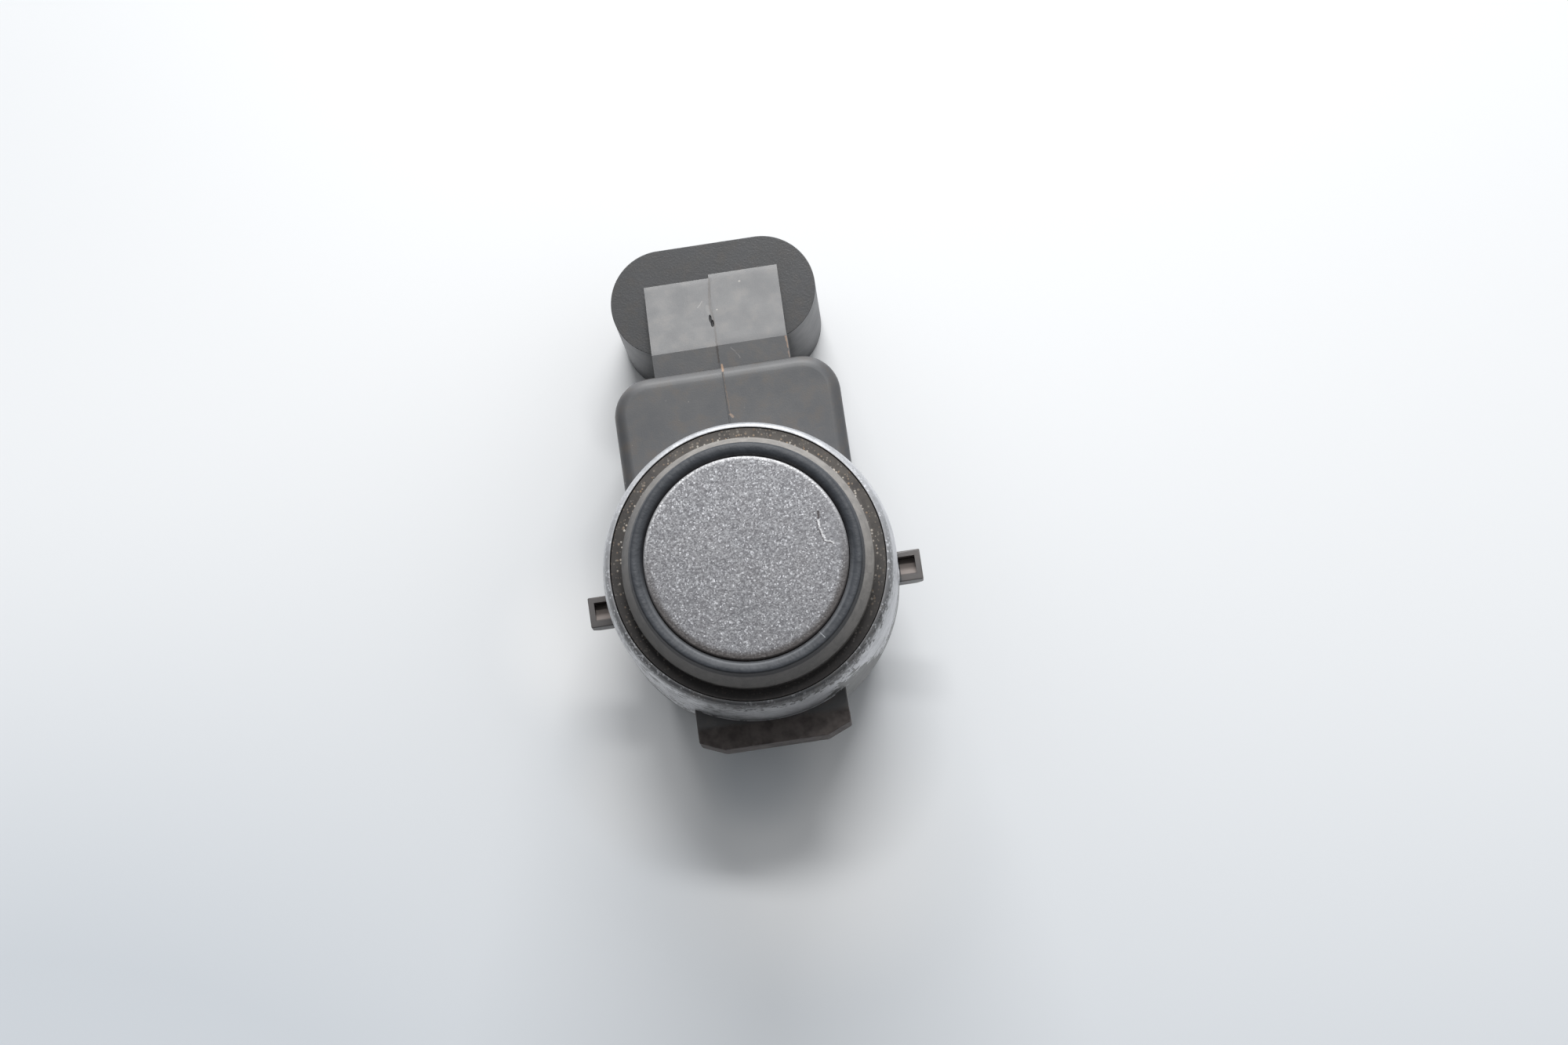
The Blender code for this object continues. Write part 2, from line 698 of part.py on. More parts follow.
def chip_part_outline(length, height):
    """A surface-mounted part from its side: a ceramic body between two slightly thicker end caps."""
    half = length / 2
    waist = half - CHIP_PART_CAP
    top = parts_z + height
    return (
        (-half, parts_z),
        (-half, top),
        (-waist, top),
        (-waist, top - CHIP_PART_STEP),
        (waist, top - CHIP_PART_STEP),
        (waist, top),
        (half, top),
        (half, parts_z),
    )


def make_capacitors(material):
    """A column of capacitors on one side of the board, end to end."""
    low_x = capacitor_x - CAPACITOR_WIDTH / 2
    for i in range(CAPACITOR_COUNT):
        middle_y = capacitor_y + i * (CAPACITOR_LENGTH + PART_SPACING)
        outline = [(middle_y + y, z) for y, z in chip_part_outline(CAPACITOR_LENGTH, CAPACITOR_HEIGHT)]
        solid(f"capacitor_{i + 1}", crosswise(outline, low_x, low_x + CAPACITOR_WIDTH), material)


def make_resistors(material):
    """A column of resistors on the other side of the board, side by side."""
    for i in range(RESISTOR_COUNT):
        low_y = resistor_y - RESISTOR_WIDTH / 2 + i * (RESISTOR_WIDTH + PART_SPACING)
        outline = chip_part_outline(RESISTOR_LENGTH, RESISTOR_HEIGHT)
        corners = [(resistor_x + x, low_y, z) for x, z in outline]
        solid(f"resistor_{i + 1}", extruded(corners, (0, RESISTOR_WIDTH, 0)), material)


def main():
    clear_scene()
    black_plastic = finish_material("black_plastic", (0.035, 0.035, 0.037), 0.5)
    silver_paint = finish_material("silver_paint", (0.30, 0.30, 0.31), 0.45, 0.6)
    silicone = finish_material("silicone", (0.035, 0.037, 0.04), 0.45)
    ceramic = finish_material("ceramic", (0.55, 0.5, 0.38), 0.5)
    foam = finish_material("foam", (0.5, 0.5, 0.48), 0.9)
    copper = finish_material("copper", (0.7, 0.35, 0.2), 0.35, 1.0)
    tin = finish_material("tinned_brass", (0.65, 0.63, 0.6), 0.3, 1.0)
    laminate = finish_material("laminate", (0.03, 0.18, 0.08), 0.5)
    ferrite = finish_material("ferrite", (0.06, 0.06, 0.065), 0.6)
    capacitor = finish_material("capacitor_ceramic", (0.45, 0.32, 0.2), 0.5)
    resistor = finish_material("resistor_ceramic", (0.05, 0.05, 0.05), 0.5)
    potting = finish_material("potting", (0.02, 0.02, 0.021), 0.35)

    make_housing(black_plastic)
    make_membrane_cup(silver_paint)
    make_decoupling_ring(silicone)
    lead_top_z = make_transducer_parts(ceramic, foam, silicone)
    make_lead_wire("lead_wire_signal", -1, lead_top_z, copper)
    make_lead_wire("lead_wire_ground", 1, lead_top_z, copper)
    make_board(laminate)
    make_control_chip(black_plastic)
    make_transformer(black_plastic, ferrite)
    make_capacitors(capacitor)
    make_resistors(resistor)
    make_terminals(tin)
    make_potting(potting)


main()
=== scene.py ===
"""Looks of an ultrasonic parking sensor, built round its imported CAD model: a painted membrane cup
in a soft ring, in a one-piece black housing whose barrel has silver overspray.

Sizes are in metres, apart from the patterns of the materials, whose sizes are in millimetres.
"""

import math

import bmesh
import bpy
from mathutils import Matrix, Vector


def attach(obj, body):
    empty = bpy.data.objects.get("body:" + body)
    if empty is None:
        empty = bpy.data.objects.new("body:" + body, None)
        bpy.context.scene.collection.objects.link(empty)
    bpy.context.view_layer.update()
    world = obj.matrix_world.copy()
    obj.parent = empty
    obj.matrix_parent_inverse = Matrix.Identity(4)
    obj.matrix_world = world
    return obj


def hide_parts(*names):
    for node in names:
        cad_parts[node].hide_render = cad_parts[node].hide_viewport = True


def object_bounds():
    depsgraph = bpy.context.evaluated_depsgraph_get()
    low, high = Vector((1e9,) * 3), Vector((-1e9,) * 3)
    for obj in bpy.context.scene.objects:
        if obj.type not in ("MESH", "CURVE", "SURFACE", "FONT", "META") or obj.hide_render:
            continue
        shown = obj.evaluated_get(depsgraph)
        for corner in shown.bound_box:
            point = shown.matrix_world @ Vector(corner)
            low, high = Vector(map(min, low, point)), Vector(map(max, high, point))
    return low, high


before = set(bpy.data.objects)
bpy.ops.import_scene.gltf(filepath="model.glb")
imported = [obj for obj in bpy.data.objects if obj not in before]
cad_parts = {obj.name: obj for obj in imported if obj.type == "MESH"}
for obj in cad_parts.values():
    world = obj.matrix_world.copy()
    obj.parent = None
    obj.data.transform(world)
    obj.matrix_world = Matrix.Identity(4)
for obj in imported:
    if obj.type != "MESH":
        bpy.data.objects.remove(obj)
cad_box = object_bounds()

MM = 0.001
WELD = 0.0005 * MM
# how far a cutting shape passes the face that it opens
SPARE = 0.5 * MM
SMOOTH_ANGLE = math.radians(20)
TURN_STEPS = 256

# Membrane cup
MEMBRANE_RADIUS = 7.75 * MM
MEMBRANE_EDGE_ROUND = 0.15 * MM
MEMBRANE_THICKNESS = 0.8 * MM
CUP_INNER_RADIUS = 6.35 * MM
CUP_FLANGE_RADIUS = 8.5 * MM
CUP_FLANGE_Z = -7.8 * MM
CUP_FOOT_Z = -8.9 * MM

# Soft ring
RING_INNER_RADIUS = 7.8 * MM
RING_CREST_RADIUS = 8.92 * MM
RING_LIP_RADIUS = 9.58 * MM
RING_BASE_RADIUS = 10.45 * MM
RING_CREST_Z = -0.03 * MM
RING_LIP_Z = -2.4 * MM
RING_GROOVE_Z = -3.75 * MM
RING_FOOT_Z = -7.7 * MM

# Barrel
BORE_RADIUS = 10.5 * MM
RIM_RADIUS = 10.75 * MM
BARREL_RADIUS = 11.3 * MM
RIM_Z = -3.2 * MM
TAPER_FOOT_Z = -5.8 * MM
BARREL_FOOT_Z = -16.2 * MM
RING_SEAT_Z = -7.8 * MM
LEDGE_Z = -11.0 * MM
CAVITY_TOP_Z = -12.5 * MM
FLANGE_BORE_RADIUS = 8.6 * MM
LEDGE_HOLE_RADIUS = 6.5 * MM

# Lugs and key, on the barrel
LUG_REACH = 1.8 * MM
LUG_NEAR_Y = -1.9 * MM
LUG_WIDTH = 2.4 * MM
LUG_TOP_Z = -12.2 * MM
LUG_FOOT_Z = -14.2 * MM
LUG_CUT = 0.5 * MM
POCKET_REACH = 1.35 * MM
POCKET_NEAR_Y = -1.45 * MM
POCKET_FAR_Y = 0.05 * MM
POCKET_DEPTH = 1.4 * MM
KEY_HALF = 5.9 * MM
KEY_OUTER_Y = -13.15 * MM
KEY_INNER_Y = -8.96 * MM
KEY_FOOT_Z = -13.1 * MM
KEY_CUT = (1.9 * MM, 0.8 * MM)

# Box, neck and socket
REAR_Z = -28.0 * MM
SHOULDER_Z = -9.6 * MM
BOX_HALF = 8.9 * MM
BOX_REACH = 16.7 * MM
BOX_BACK = -8.4 * MM
BOX_FRONT_CORNER = 3.0 * MM
BOX_BACK_CORNER = 4.8 * MM
BOX_EDGE_ROUND = 1.0 * MM
BOX_WALL = 1.3 * MM
CAVITY_INSET = 2.1 * MM
BOARD_SEAT_Z = -20.4 * MM
ROOF_Z = -11.1 * MM
SOCKET_HALF = 8.15 * MM
SOCKET_NEAR_Y = 18.9 * MM
SOCKET_FAR_Y = 27.4 * MM
SOCKET_TOP_Z = -13.5 * MM
SOCKET_FLOOR_Z = -15.0 * MM
SOCKET_WALL = 1.1 * MM
LATCH_HALF = 2.0 * MM
LATCH_REACH = 1.1 * MM
LATCH_LOW_Z = -24.6 * MM
LATCH_HIGH_Z = -21.2 * MM
RIB_X = 3.0 * MM
RIB_HALF = 0.45 * MM
NECK_HALF = 5.35 * MM
NECK_TOP_Z = -10.5 * MM
NECK_FLOOR_Z = -15.6 * MM
RAMP_CREST_Y = 18.5 * MM
RAMP_SLOPE = 3.0 / 6.4
BURIED_IN_BOX = 0.65 * MM
BURIED_IN_SOCKET = 0.55 * MM
MOULD_STEP = 0.14 * MM
MOULD_LINE = -0.15 * MM
# the room under the box's roof, where the contacts cross
ROOM_HALF = 4.7 * MM
ROOM_NEAR_Y = 12.1 * MM

# Contacts
PIN_PITCH = 3.6 * MM
PIN_HALF = 0.32 * MM
PIN_Y = 23.15 * MM
PIN_ROW_Y = 13.2 * MM
PIN_CROSS_Z = -14.25 * MM
PIN_TIP_Z = -22.5 * MM
PIN_TAIL_Z = -22.3 * MM

# Sealing compound
COMPOUND_TOP_Z = -21.6 * MM
COMPOUND_REAR_Z = -27.35 * MM
COMPOUND_CLIMB = 0.3 * MM

# Camera and light, fitted to the photograph
CAMERA_PLACE = Vector((8.90, -44.19, 296.59)) * MM
CAMERA_AIM = Vector((-0.01896, 0.15449, -0.98781))
PHOTO_TURN = math.radians(8.4)
PHOTO_UP = Vector((math.sin(PHOTO_TURN), math.cos(PHOTO_TURN), 0))
CAMERA_LENS = 91.8
BRIGHT_SIDE = Vector((0.36, 0.71, 0.6))
DARK_SIDE_LEVEL = 0.02
BRIGHT_SIDE_LEVEL = 0.95
FLOOR_REACH = 3.0


# Meshes


def bevel(bm, items, radius, segments, **settings):
    bmesh.ops.bevel(
        bm,
        geom=items,
        offset=radius,
        offset_type="OFFSET",
        segments=segments,
        profile=0.5,
        material=-1,
        **settings,
    )


def turned(profile, steps=TURN_STEPS):
    """A profile of (radius, z, corner round) rows turned round the Z axis."""
    bm = bmesh.new()
    verts = [bm.verts.new((radius, 0, z)) for radius, z, _ in profile]
    for pair in zip(verts, verts[1:]):
        bm.edges.new(pair)
    if profile[0][0] > 0:
        bm.edges.new((verts[-1], verts[0]))
    for vert, (_, _, corner_round) in zip(verts, profile):
        if corner_round:
            bevel(bm, [vert], corner_round, 6, affect="VERTICES")
    bmesh.ops.spin(
        bm,
        geom=bm.verts[:] + bm.edges[:],
        cent=(0, 0, 0),
        axis=(0, 0, 1),
        angle=2 * math.pi,
        steps=steps,
        use_merge=True,
    )
    return bm


def drawn_out(corners, travel):
    """A flat outline of 3-D corners, extruded along a vector."""
    bm = bmesh.new()
    face = bm.faces.new([bm.verts.new(corner) for corner in corners])
    made = bmesh.ops.extrude_face_region(bm, geom=[face])["geom"]
    moved = [item for item in made if isinstance(item, bmesh.types.BMVert)]
    bmesh.ops.translate(bm, verts=moved, vec=travel)
    bmesh.ops.recalc_face_normals(bm, faces=bm.faces)
    return bm


def upright(outline, low_z, high_z):
    """A prism along Z, from an outline of (x, y) corners."""
    return drawn_out([(x, y, low_z) for x, y in outline], (0, 0, high_z - low_z))


def crosswise(outline, low_x, high_x):
    """A prism along X, from an outline of (y, z) corners."""
    return drawn_out([(low_x, y, z) for y, z in outline], (high_x - low_x, 0, 0))


def block(low, high):
    """A box between two corners."""
    bm = bmesh.new()
    bmesh.ops.create_cube(bm, size=1)
    low, high = Vector(low), Vector(high)
    bmesh.ops.scale(bm, vec=high - low, verts=bm.verts)
    bmesh.ops.translate(bm, vec=(low + high) / 2, verts=bm.verts)
    return bm


def rounded(bm, radius, wanted, segments=4):
    """Rounds the edges for which wanted(end, other_end) is true."""
    edges = [e for e in bm.edges if wanted(e.verts[0].co, e.verts[1].co)]
    bevel(bm, edges, radius, segments, affect="EDGES", clamp_overlap=True)
    return bm


def at_height(z):
    """Picks edges that lie at this z."""
    return lambda a, b: abs(a.z - z) < WELD and abs(b.z - z) < WELD


def upright_at(y):
    """Picks upright edges that stand at this y."""
    return lambda a, b: abs(a.z - b.z) > MM and abs(a.y - y) < WELD and abs(b.y - y) < WELD


def any_edge(a, b):
    return True


def rounded_block(low, high, near_corner, far_corner, segments=12):
    """A box between two corners whose upright edges are rounded."""
    bm = block(low, high)
    rounded(bm, near_corner, upright_at(low[1]), segments)
    rounded(bm, far_corner, upright_at(high[1]), segments)
    bmesh.ops.remove_doubles(bm, verts=bm.verts, dist=WELD)
    return bm


def solid(name, bm, material=None):
    """An object of this mesh, with its faces turned outwards and its round stretches smooth."""
    bmesh.ops.remove_doubles(bm, verts=bm.verts, dist=WELD)
    bmesh.ops.dissolve_degenerate(bm, edges=bm.edges, dist=WELD)
    bmesh.ops.recalc_face_normals(bm, faces=bm.faces)
    mesh = bpy.data.meshes.new(name)
    bm.to_mesh(mesh)
    bm.free()
    obj = bpy.data.objects.new(name, mesh)
    bpy.context.scene.collection.objects.link(obj)
    if material:
        mesh.materials.append(material)
    mesh.shade_smooth()
    mesh.set_sharp_from_angle(angle=SMOOTH_ANGLE)
    return obj


def carve(target, steps):
    """Joins shapes to the target or cuts them from it, in order, and keeps the finished mesh."""
    for number, (operation, bm) in enumerate(steps):
        helper = solid(f"helper_{number}", bm)
        step = target.modifiers.new(helper.name, "BOOLEAN")
        step.object = helper
        step.operation = operation
        step.solver = "MANIFOLD"
    shaped = target.evaluated_get(bpy.context.evaluated_depsgraph_get())
    mesh = bpy.data.meshes.new_from_object(shaped)
    for step in target.modifiers:
        bpy.data.objects.remove(step.object)
    target.modifiers.clear()
    old = target.data
    target.data = mesh
    bpy.data.meshes.remove(old)
    mesh.name = target.name
    mesh.shade_smooth()
    mesh.set_sharp_from_angle(angle=SMOOTH_ANGLE)
    weighting = target.modifiers.new("weighted_normals", "WEIGHTED_NORMAL")
    weighting.keep_sharp = True
    return target


def settle(obj, slot, *nodes):
    """Makes a finished piece ride on the one body and stand for its CAD nodes."""
    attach(obj, "root")
    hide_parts(*nodes)


def make_membrane_cup(material):
    """The cup, with a rounded edge round its face."""
    profile = [
        (0, 0, 0),
        (MEMBRANE_RADIUS, 0, MEMBRANE_EDGE_ROUND),
        (MEMBRANE_RADIUS, CUP_FLANGE_Z, 0),
        (CUP_FLANGE_RADIUS, CUP_FLANGE_Z, 0.1 * MM),
        (CUP_FLANGE_RADIUS, CUP_FOOT_Z, 0.1 * MM),
        (CUP_INNER_RADIUS, CUP_FOOT_Z, 0.1 * MM),
        (CUP_INNER_RADIUS, -MEMBRANE_THICKNESS, 0.2 * MM),
        (0, -MEMBRANE_THICKNESS, 0),
    ]
    settle(solid("membrane_cup_visual", turned(profile), material), "silver_paint", "membrane_cup")


def make_decoupling_ring(material):
    """The soft ring: a slope down to the cup, a rounded crest, a flank and a lip over the groove."""
    profile = [
        (RING_INNER_RADIUS, RING_FOOT_Z, 0),
        (RING_INNER_RADIUS, RING_CREST_Z - 0.34 * MM, 0.01 * MM),
        (RING_INNER_RADIUS + 0.2 * MM, RING_CREST_Z - 0.14 * MM, 0.06 * MM),
        (RING_INNER_RADIUS + 0.45 * MM, RING_CREST_Z - 0.03 * MM, 0.12 * MM),
        (RING_INNER_RADIUS + 0.7 * MM, RING_CREST_Z, 0.1 * MM),
        (RING_CREST_RADIUS - 0.16 * MM, RING_CREST_Z - 0.06 * MM, 0.12 * MM),
        (RING_CREST_RADIUS, RING_CREST_Z - 0.75 * MM, 0.06 * MM),
        (RING_LIP_RADIUS, RING_LIP_Z, 0.12 * MM),
        (RING_LIP_RADIUS - 0.02 * MM, RING_GROOVE_Z, 0.3 * MM),
        (RING_BASE_RADIUS, RIM_Z - 0.14 * MM, 0.05 * MM),
        (RING_BASE_RADIUS, RING_FOOT_Z, 0.1 * MM),
    ]
    ring = solid("decoupling_ring_visual", turned(profile), material)
    settle(ring, "silicone", "decoupling_ring")


def barrel_shape():
    profile = [
        (0, RIM_Z, 0),
        (RIM_RADIUS, RIM_Z, 0.18 * MM),
        (RIM_RADIUS + 0.2 * MM, RIM_Z - 0.42 * MM, 0.3 * MM),
        (BARREL_RADIUS, TAPER_FOOT_Z, 0.9 * MM),
        (BARREL_RADIUS, BARREL_FOOT_Z, 0.15 * MM),
        (0, BARREL_FOOT_Z, 0),
    ]
    return turned(profile)


def barrel_bore():
    profile = [
        (0, RIM_Z + SPARE, 0),
        (BORE_RADIUS + SPARE, RIM_Z + SPARE, 0),
        (BORE_RADIUS, RIM_Z - 0.06 * MM, 0.05 * MM),
        (BORE_RADIUS, RING_SEAT_Z, 0),
        (FLANGE_BORE_RADIUS, RING_SEAT_Z, 0),
        (FLANGE_BORE_RADIUS, LEDGE_Z, 0),
        (LEDGE_HOLE_RADIUS, LEDGE_Z, 0),
        (LEDGE_HOLE_RADIUS, CAVITY_TOP_Z - SPARE, 0),
        (0, CAVITY_TOP_Z - SPARE, 0),
    ]
    return turned(profile)


def box_shape():
    low = (-BOX_HALF, BOX_BACK, REAR_Z)
    high = (BOX_HALF, BOX_REACH, SHOULDER_Z)
    bm = rounded_block(low, high, BOX_BACK_CORNER, BOX_FRONT_CORNER)
    rounded(bm, BOX_EDGE_ROUND, at_height(SHOULDER_Z), 6)
    return rounded(bm, 0.2 * MM, at_height(REAR_Z), 3)


def cavity_shape(inset, low_z, high_z):
    """The box's inside, at this distance from its outside."""
    low = (inset - BOX_HALF, BOX_BACK + inset, low_z)
    high = (BOX_HALF - inset, BOX_REACH - inset, high_z)
    front_corner = max(BOX_FRONT_CORNER - inset, 0.6 * MM)
    return rounded_block(low, high, BOX_BACK_CORNER - inset, front_corner, 8)


def socket_shape():
    corner = (SOCKET_FAR_Y - SOCKET_NEAR_Y) / 2 - WELD
    low = (-SOCKET_HALF, SOCKET_NEAR_Y, REAR_Z)
    high = (SOCKET_HALF, SOCKET_FAR_Y, SOCKET_TOP_Z)
    bm = rounded_block(low, high, corner, corner, 32)
    rounded(bm, 0.3 * MM, at_height(SOCKET_TOP_Z), 4)
    return rounded(bm, 0.15 * MM, at_height(REAR_Z), 3)


def socket_hollow():
    corner = (SOCKET_FAR_Y - SOCKET_NEAR_Y) / 2 - SOCKET_WALL - WELD
    low = (SOCKET_WALL - SOCKET_HALF, SOCKET_NEAR_Y + SOCKET_WALL, REAR_Z - SPARE)
    high = (SOCKET_HALF - SOCKET_WALL, SOCKET_FAR_Y - SOCKET_WALL, SOCKET_FLOOR_Z)
    return rounded_block(low, high, corner, corner, 32)


def neck_shape(drop, low_x, high_x):
    """Half of the bridge to the socket, with the ramp that runs down onto its closed end."""
    crest_z = NECK_TOP_Z - drop
    buried_z = SOCKET_TOP_Z - 0.75 * MM
    ramp_end_y = RAMP_CREST_Y + (crest_z - buried_z) / RAMP_SLOPE
    near_y, far_y = BOX_REACH - BURIED_IN_BOX, SOCKET_NEAR_Y + BURIED_IN_SOCKET
    outline = (
        (near_y, crest_z),
        (RAMP_CREST_Y, crest_z),
        (ramp_end_y, buried_z),
        (far_y, buried_z),
        (far_y, NECK_FLOOR_Z),
        (near_y, NECK_FLOOR_Z),
    )
    return crosswise(outline, low_x, high_x)


def lug_shape(side):
    """A side lug with a cut lower corner."""
    inner_x, outer_x = BARREL_RADIUS - 0.8 * MM, BARREL_RADIUS + LUG_REACH
    outline = (
        (inner_x, LUG_FOOT_Z),
        (outer_x - LUG_CUT, LUG_FOOT_Z),
        (outer_x, LUG_FOOT_Z + LUG_CUT),
        (outer_x, LUG_TOP_Z),
        (inner_x, LUG_TOP_Z),
    )
    bm = drawn_out([(side * x, LUG_NEAR_Y, z) for x, z in outline], (0, LUG_WIDTH, 0))
    return rounded(bm, 0.1 * MM, any_edge, 3)


def lug_pocket(side):
    """The pocket in a lug's top, whose floor slopes down to its far wall."""
    slope = POCKET_DEPTH / (POCKET_FAR_Y - POCKET_NEAR_Y)
    outline = (
        (POCKET_FAR_Y, LUG_TOP_Z + SPARE),
        (POCKET_FAR_Y, LUG_TOP_Z - POCKET_DEPTH),
        (POCKET_NEAR_Y - SPARE / slope, LUG_TOP_Z + SPARE),
    )
    low, high = sorted((side * BARREL_RADIUS, side * (BARREL_RADIUS + POCKET_REACH)))
    return crosswise(outline, low, high)


def key_shape():
    """The key opposite the socket, with its two outer corners cut."""
    cut_x, cut_y = KEY_CUT
    outline = (
        (-KEY_HALF, KEY_INNER_Y),
        (-KEY_HALF, KEY_OUTER_Y + cut_y),
        (cut_x - KEY_HALF, KEY_OUTER_Y),
        (KEY_HALF - cut_x, KEY_OUTER_Y),
        (KEY_HALF, KEY_OUTER_Y + cut_y),
        (KEY_HALF, KEY_INNER_Y),
    )
    return rounded(upright(outline, KEY_FOOT_Z, SHOULDER_Z), 0.12 * MM, any_edge, 3)


def latch_nose():
    """The nose behind which a plug's latch hooks, on the socket's far wall."""
    wall_y, nose_y = SOCKET_FAR_Y, SOCKET_FAR_Y + LATCH_REACH
    outline = (
        (wall_y - BURIED_IN_SOCKET, LATCH_LOW_Z),
        (wall_y, LATCH_LOW_Z),
        (nose_y, LATCH_HIGH_Z - 0.6 * MM),
        (nose_y, LATCH_HIGH_Z),
        (wall_y - BURIED_IN_SOCKET, LATCH_HIGH_Z),
    )
    bm = crosswise(outline, -LATCH_HALF, LATCH_HALF)
    return rounded(bm, 0.1 * MM, lambda a, b: max(a.y, b.y) > wall_y, 3)


def plug_rib(side):
    """A coding rib on the inside of the socket's near wall."""
    x, wall_y = side * RIB_X, SOCKET_NEAR_Y + SOCKET_WALL
    low = (x - RIB_HALF, wall_y - BURIED_IN_SOCKET, REAR_Z + 2 * MM)
    high = (x + RIB_HALF, wall_y + 0.5 * MM, SOCKET_FLOOR_Z + 0.5 * MM)
    return rounded(block(low, high), 0.12 * MM, any_edge, 3)


def contact_outline(half):
    """A bent contact's side view, or with a larger half width its channel's."""
    spare = half - PIN_HALF
    tip, tail = PIN_TIP_Z - spare, PIN_TAIL_Z - spare
    return (
        (PIN_Y - half, tip),
        (PIN_Y + half, tip),
        (PIN_Y + half, PIN_CROSS_Z + half),
        (PIN_ROW_Y - half, PIN_CROSS_Z + half),
        (PIN_ROW_Y - half, tail),
        (PIN_ROW_Y + half, tail),
        (PIN_ROW_Y + half, PIN_CROSS_Z - half),
        (PIN_Y - half, PIN_CROSS_Z - half),
    )


def seam_ridge():
    """The thin ridge that the mould's halves leave across the box's top."""
    half, height, buried = 0.06 * MM, 0.04 * MM, 0.4 * MM
    low = (-half, 10.6 * MM, SHOULDER_Z - buried)
    high = (half, BOX_REACH - 0.5 * MM, SHOULDER_Z + height)
    return rounded(block(low, high), 0.03 * MM, at_height(high[2]), 2)


def seam_chip(x, y, half_width, half_length):
    """A chip beside the seam on the ramp, as a long rounded hollow."""
    half_depth = 0.32 * MM
    z = NECK_TOP_Z - RAMP_SLOPE * (y - RAMP_CREST_Y)
    bm = bmesh.new()
    bmesh.ops.create_icosphere(bm, subdivisions=3, radius=1)
    bmesh.ops.scale(bm, vec=(half_width, half_length, half_depth), verts=bm.verts)
    bmesh.ops.rotate(bm, matrix=Matrix.Rotation(-math.atan(RAMP_SLOPE), 3, "X"), verts=bm.verts)
    bmesh.ops.translate(bm, vec=(x, y, z), verts=bm.verts)
    return bm


def make_housing(material):
    """The one-piece moulding, joined and carved from rounded shapes."""
    channel_half = PIN_HALF + 0.05 * MM
    pins = [i * PIN_PITCH for i in (-1, 0, 1)]
    room_low = (-ROOM_HALF, ROOM_NEAR_Y, CAVITY_TOP_Z - SPARE)
    room_high = (ROOM_HALF, BOX_REACH - CAVITY_INSET, ROOF_Z)
    steps = [
        ("UNION", box_shape()),
        ("UNION", socket_shape()),
        ("UNION", neck_shape(MOULD_STEP, -NECK_HALF, MOULD_LINE + 0.5 * MM)),
        ("UNION", neck_shape(0, MOULD_LINE, NECK_HALF)),
        ("UNION", seam_ridge()),
        ("UNION", key_shape()),
        ("UNION", latch_nose()),
        ("DIFFERENCE", seam_chip(-0.42 * MM, 21.05 * MM, 0.12 * MM, 0.42 * MM)),
        ("DIFFERENCE", seam_chip(-0.3 * MM, 20.6 * MM, 0.15 * MM, 0.4 * MM)),
    ]
    for side in (-1, 1):
        steps += [("UNION", lug_shape(side)), ("DIFFERENCE", lug_pocket(side))]
    steps += [
        ("DIFFERENCE", barrel_bore()),
        ("DIFFERENCE", cavity_shape(CAVITY_INSET, BOARD_SEAT_Z - SPARE, CAVITY_TOP_Z)),
        ("DIFFERENCE", cavity_shape(BOX_WALL, REAR_Z - SPARE, BOARD_SEAT_Z)),
        ("DIFFERENCE", block(room_low, room_high)),
        ("DIFFERENCE", socket_hollow()),
    ]
    steps += [("UNION", plug_rib(side)) for side in (-1, 1)]
    steps += [
        ("DIFFERENCE", crosswise(contact_outline(channel_half), x - channel_half, x + channel_half))
        for x in pins
    ]
    housing = carve(solid("housing_visual", barrel_shape(), material), steps)
    settle(housing, "housing_plastic", "housing")


def make_contact(node, x, material):
    """A bent contact with rounded edges and a tapered tip."""
    bm = crosswise(contact_outline(PIN_HALF), x - PIN_HALF, x + PIN_HALF)
    rounded(bm, 0.2 * MM, at_height(PIN_TIP_Z), 2)
    rounded(bm, 0.05 * MM, lambda a, b: (a - b).length > 1.5 * MM, 2)
    settle(solid(node + "_visual", bm, material), "tinned_brass", node)


def make_compound(material):
    """The sealing compound, a little sunk in the middle where it has climbed the walls."""
    bm = cavity_shape(BOX_WALL + 0.02 * MM, COMPOUND_REAR_Z, COMPOUND_TOP_Z)
    rear = [f for f in bm.faces if f.calc_center_median().z < COMPOUND_REAR_Z + WELD]
    for inset, climb in ((0.25 * MM, 0.5), (0.35 * MM, 0.25), (0.6 * MM, 0.25)):
        rim = {v for f in rear for v in f.verts}
        bmesh.ops.inset_region(bm, faces=rear, thickness=inset, use_even_offset=True)
        inner = {v for f in rear for v in f.verts}
        bmesh.ops.translate(bm, verts=list(inner - rim), vec=(0, 0, climb * COMPOUND_CLIMB))
    settle(solid("sealing_compound_visual", bm, material), "potting", "sealing_compound")


# Materials


def is_socket(value):
    return isinstance(value, bpy.types.NodeSocket)


def tree_of(*values):
    """The node tree of the sockets among these values."""
    return next(value.id_data for value in values if is_socket(value))


def link(value, socket):
    socket.id_data.links.new(value, socket)


def give(made, inputs):
    """Gives a node its inputs, each as a value or as a socket to link."""
    for key, value in inputs.items():
        if is_socket(value):
            link(value, made.inputs[key])
        else:
            made.inputs[key].default_value = value


def node(tree, kind, inputs=None, **settings):
    """A shader node with its inputs and settings."""
    made = tree.nodes.new("ShaderNode" + kind)
    for name, value in settings.items():
        setattr(made, name, value)
    give(made, inputs or {})
    return made


def math_of(operation, *values):
    return node(tree_of(*values), "Math", dict(enumerate(values)), operation=operation).outputs[0]


def times(first, *others):
    for other in others:
        first = math_of("MULTIPLY", first, other)
    return first


def plus(first, second):
    return math_of("ADD", first, second)


def minus(first, second):
    return math_of("SUBTRACT", first, second)


def largest(first, second):
    return math_of("MAXIMUM", first, second)


def above(value, limit):
    return math_of("GREATER_THAN", value, limit)


def below(value, limit):
    return math_of("LESS_THAN", value, limit)


def absolute(value):
    return math_of("ABSOLUTE", value)


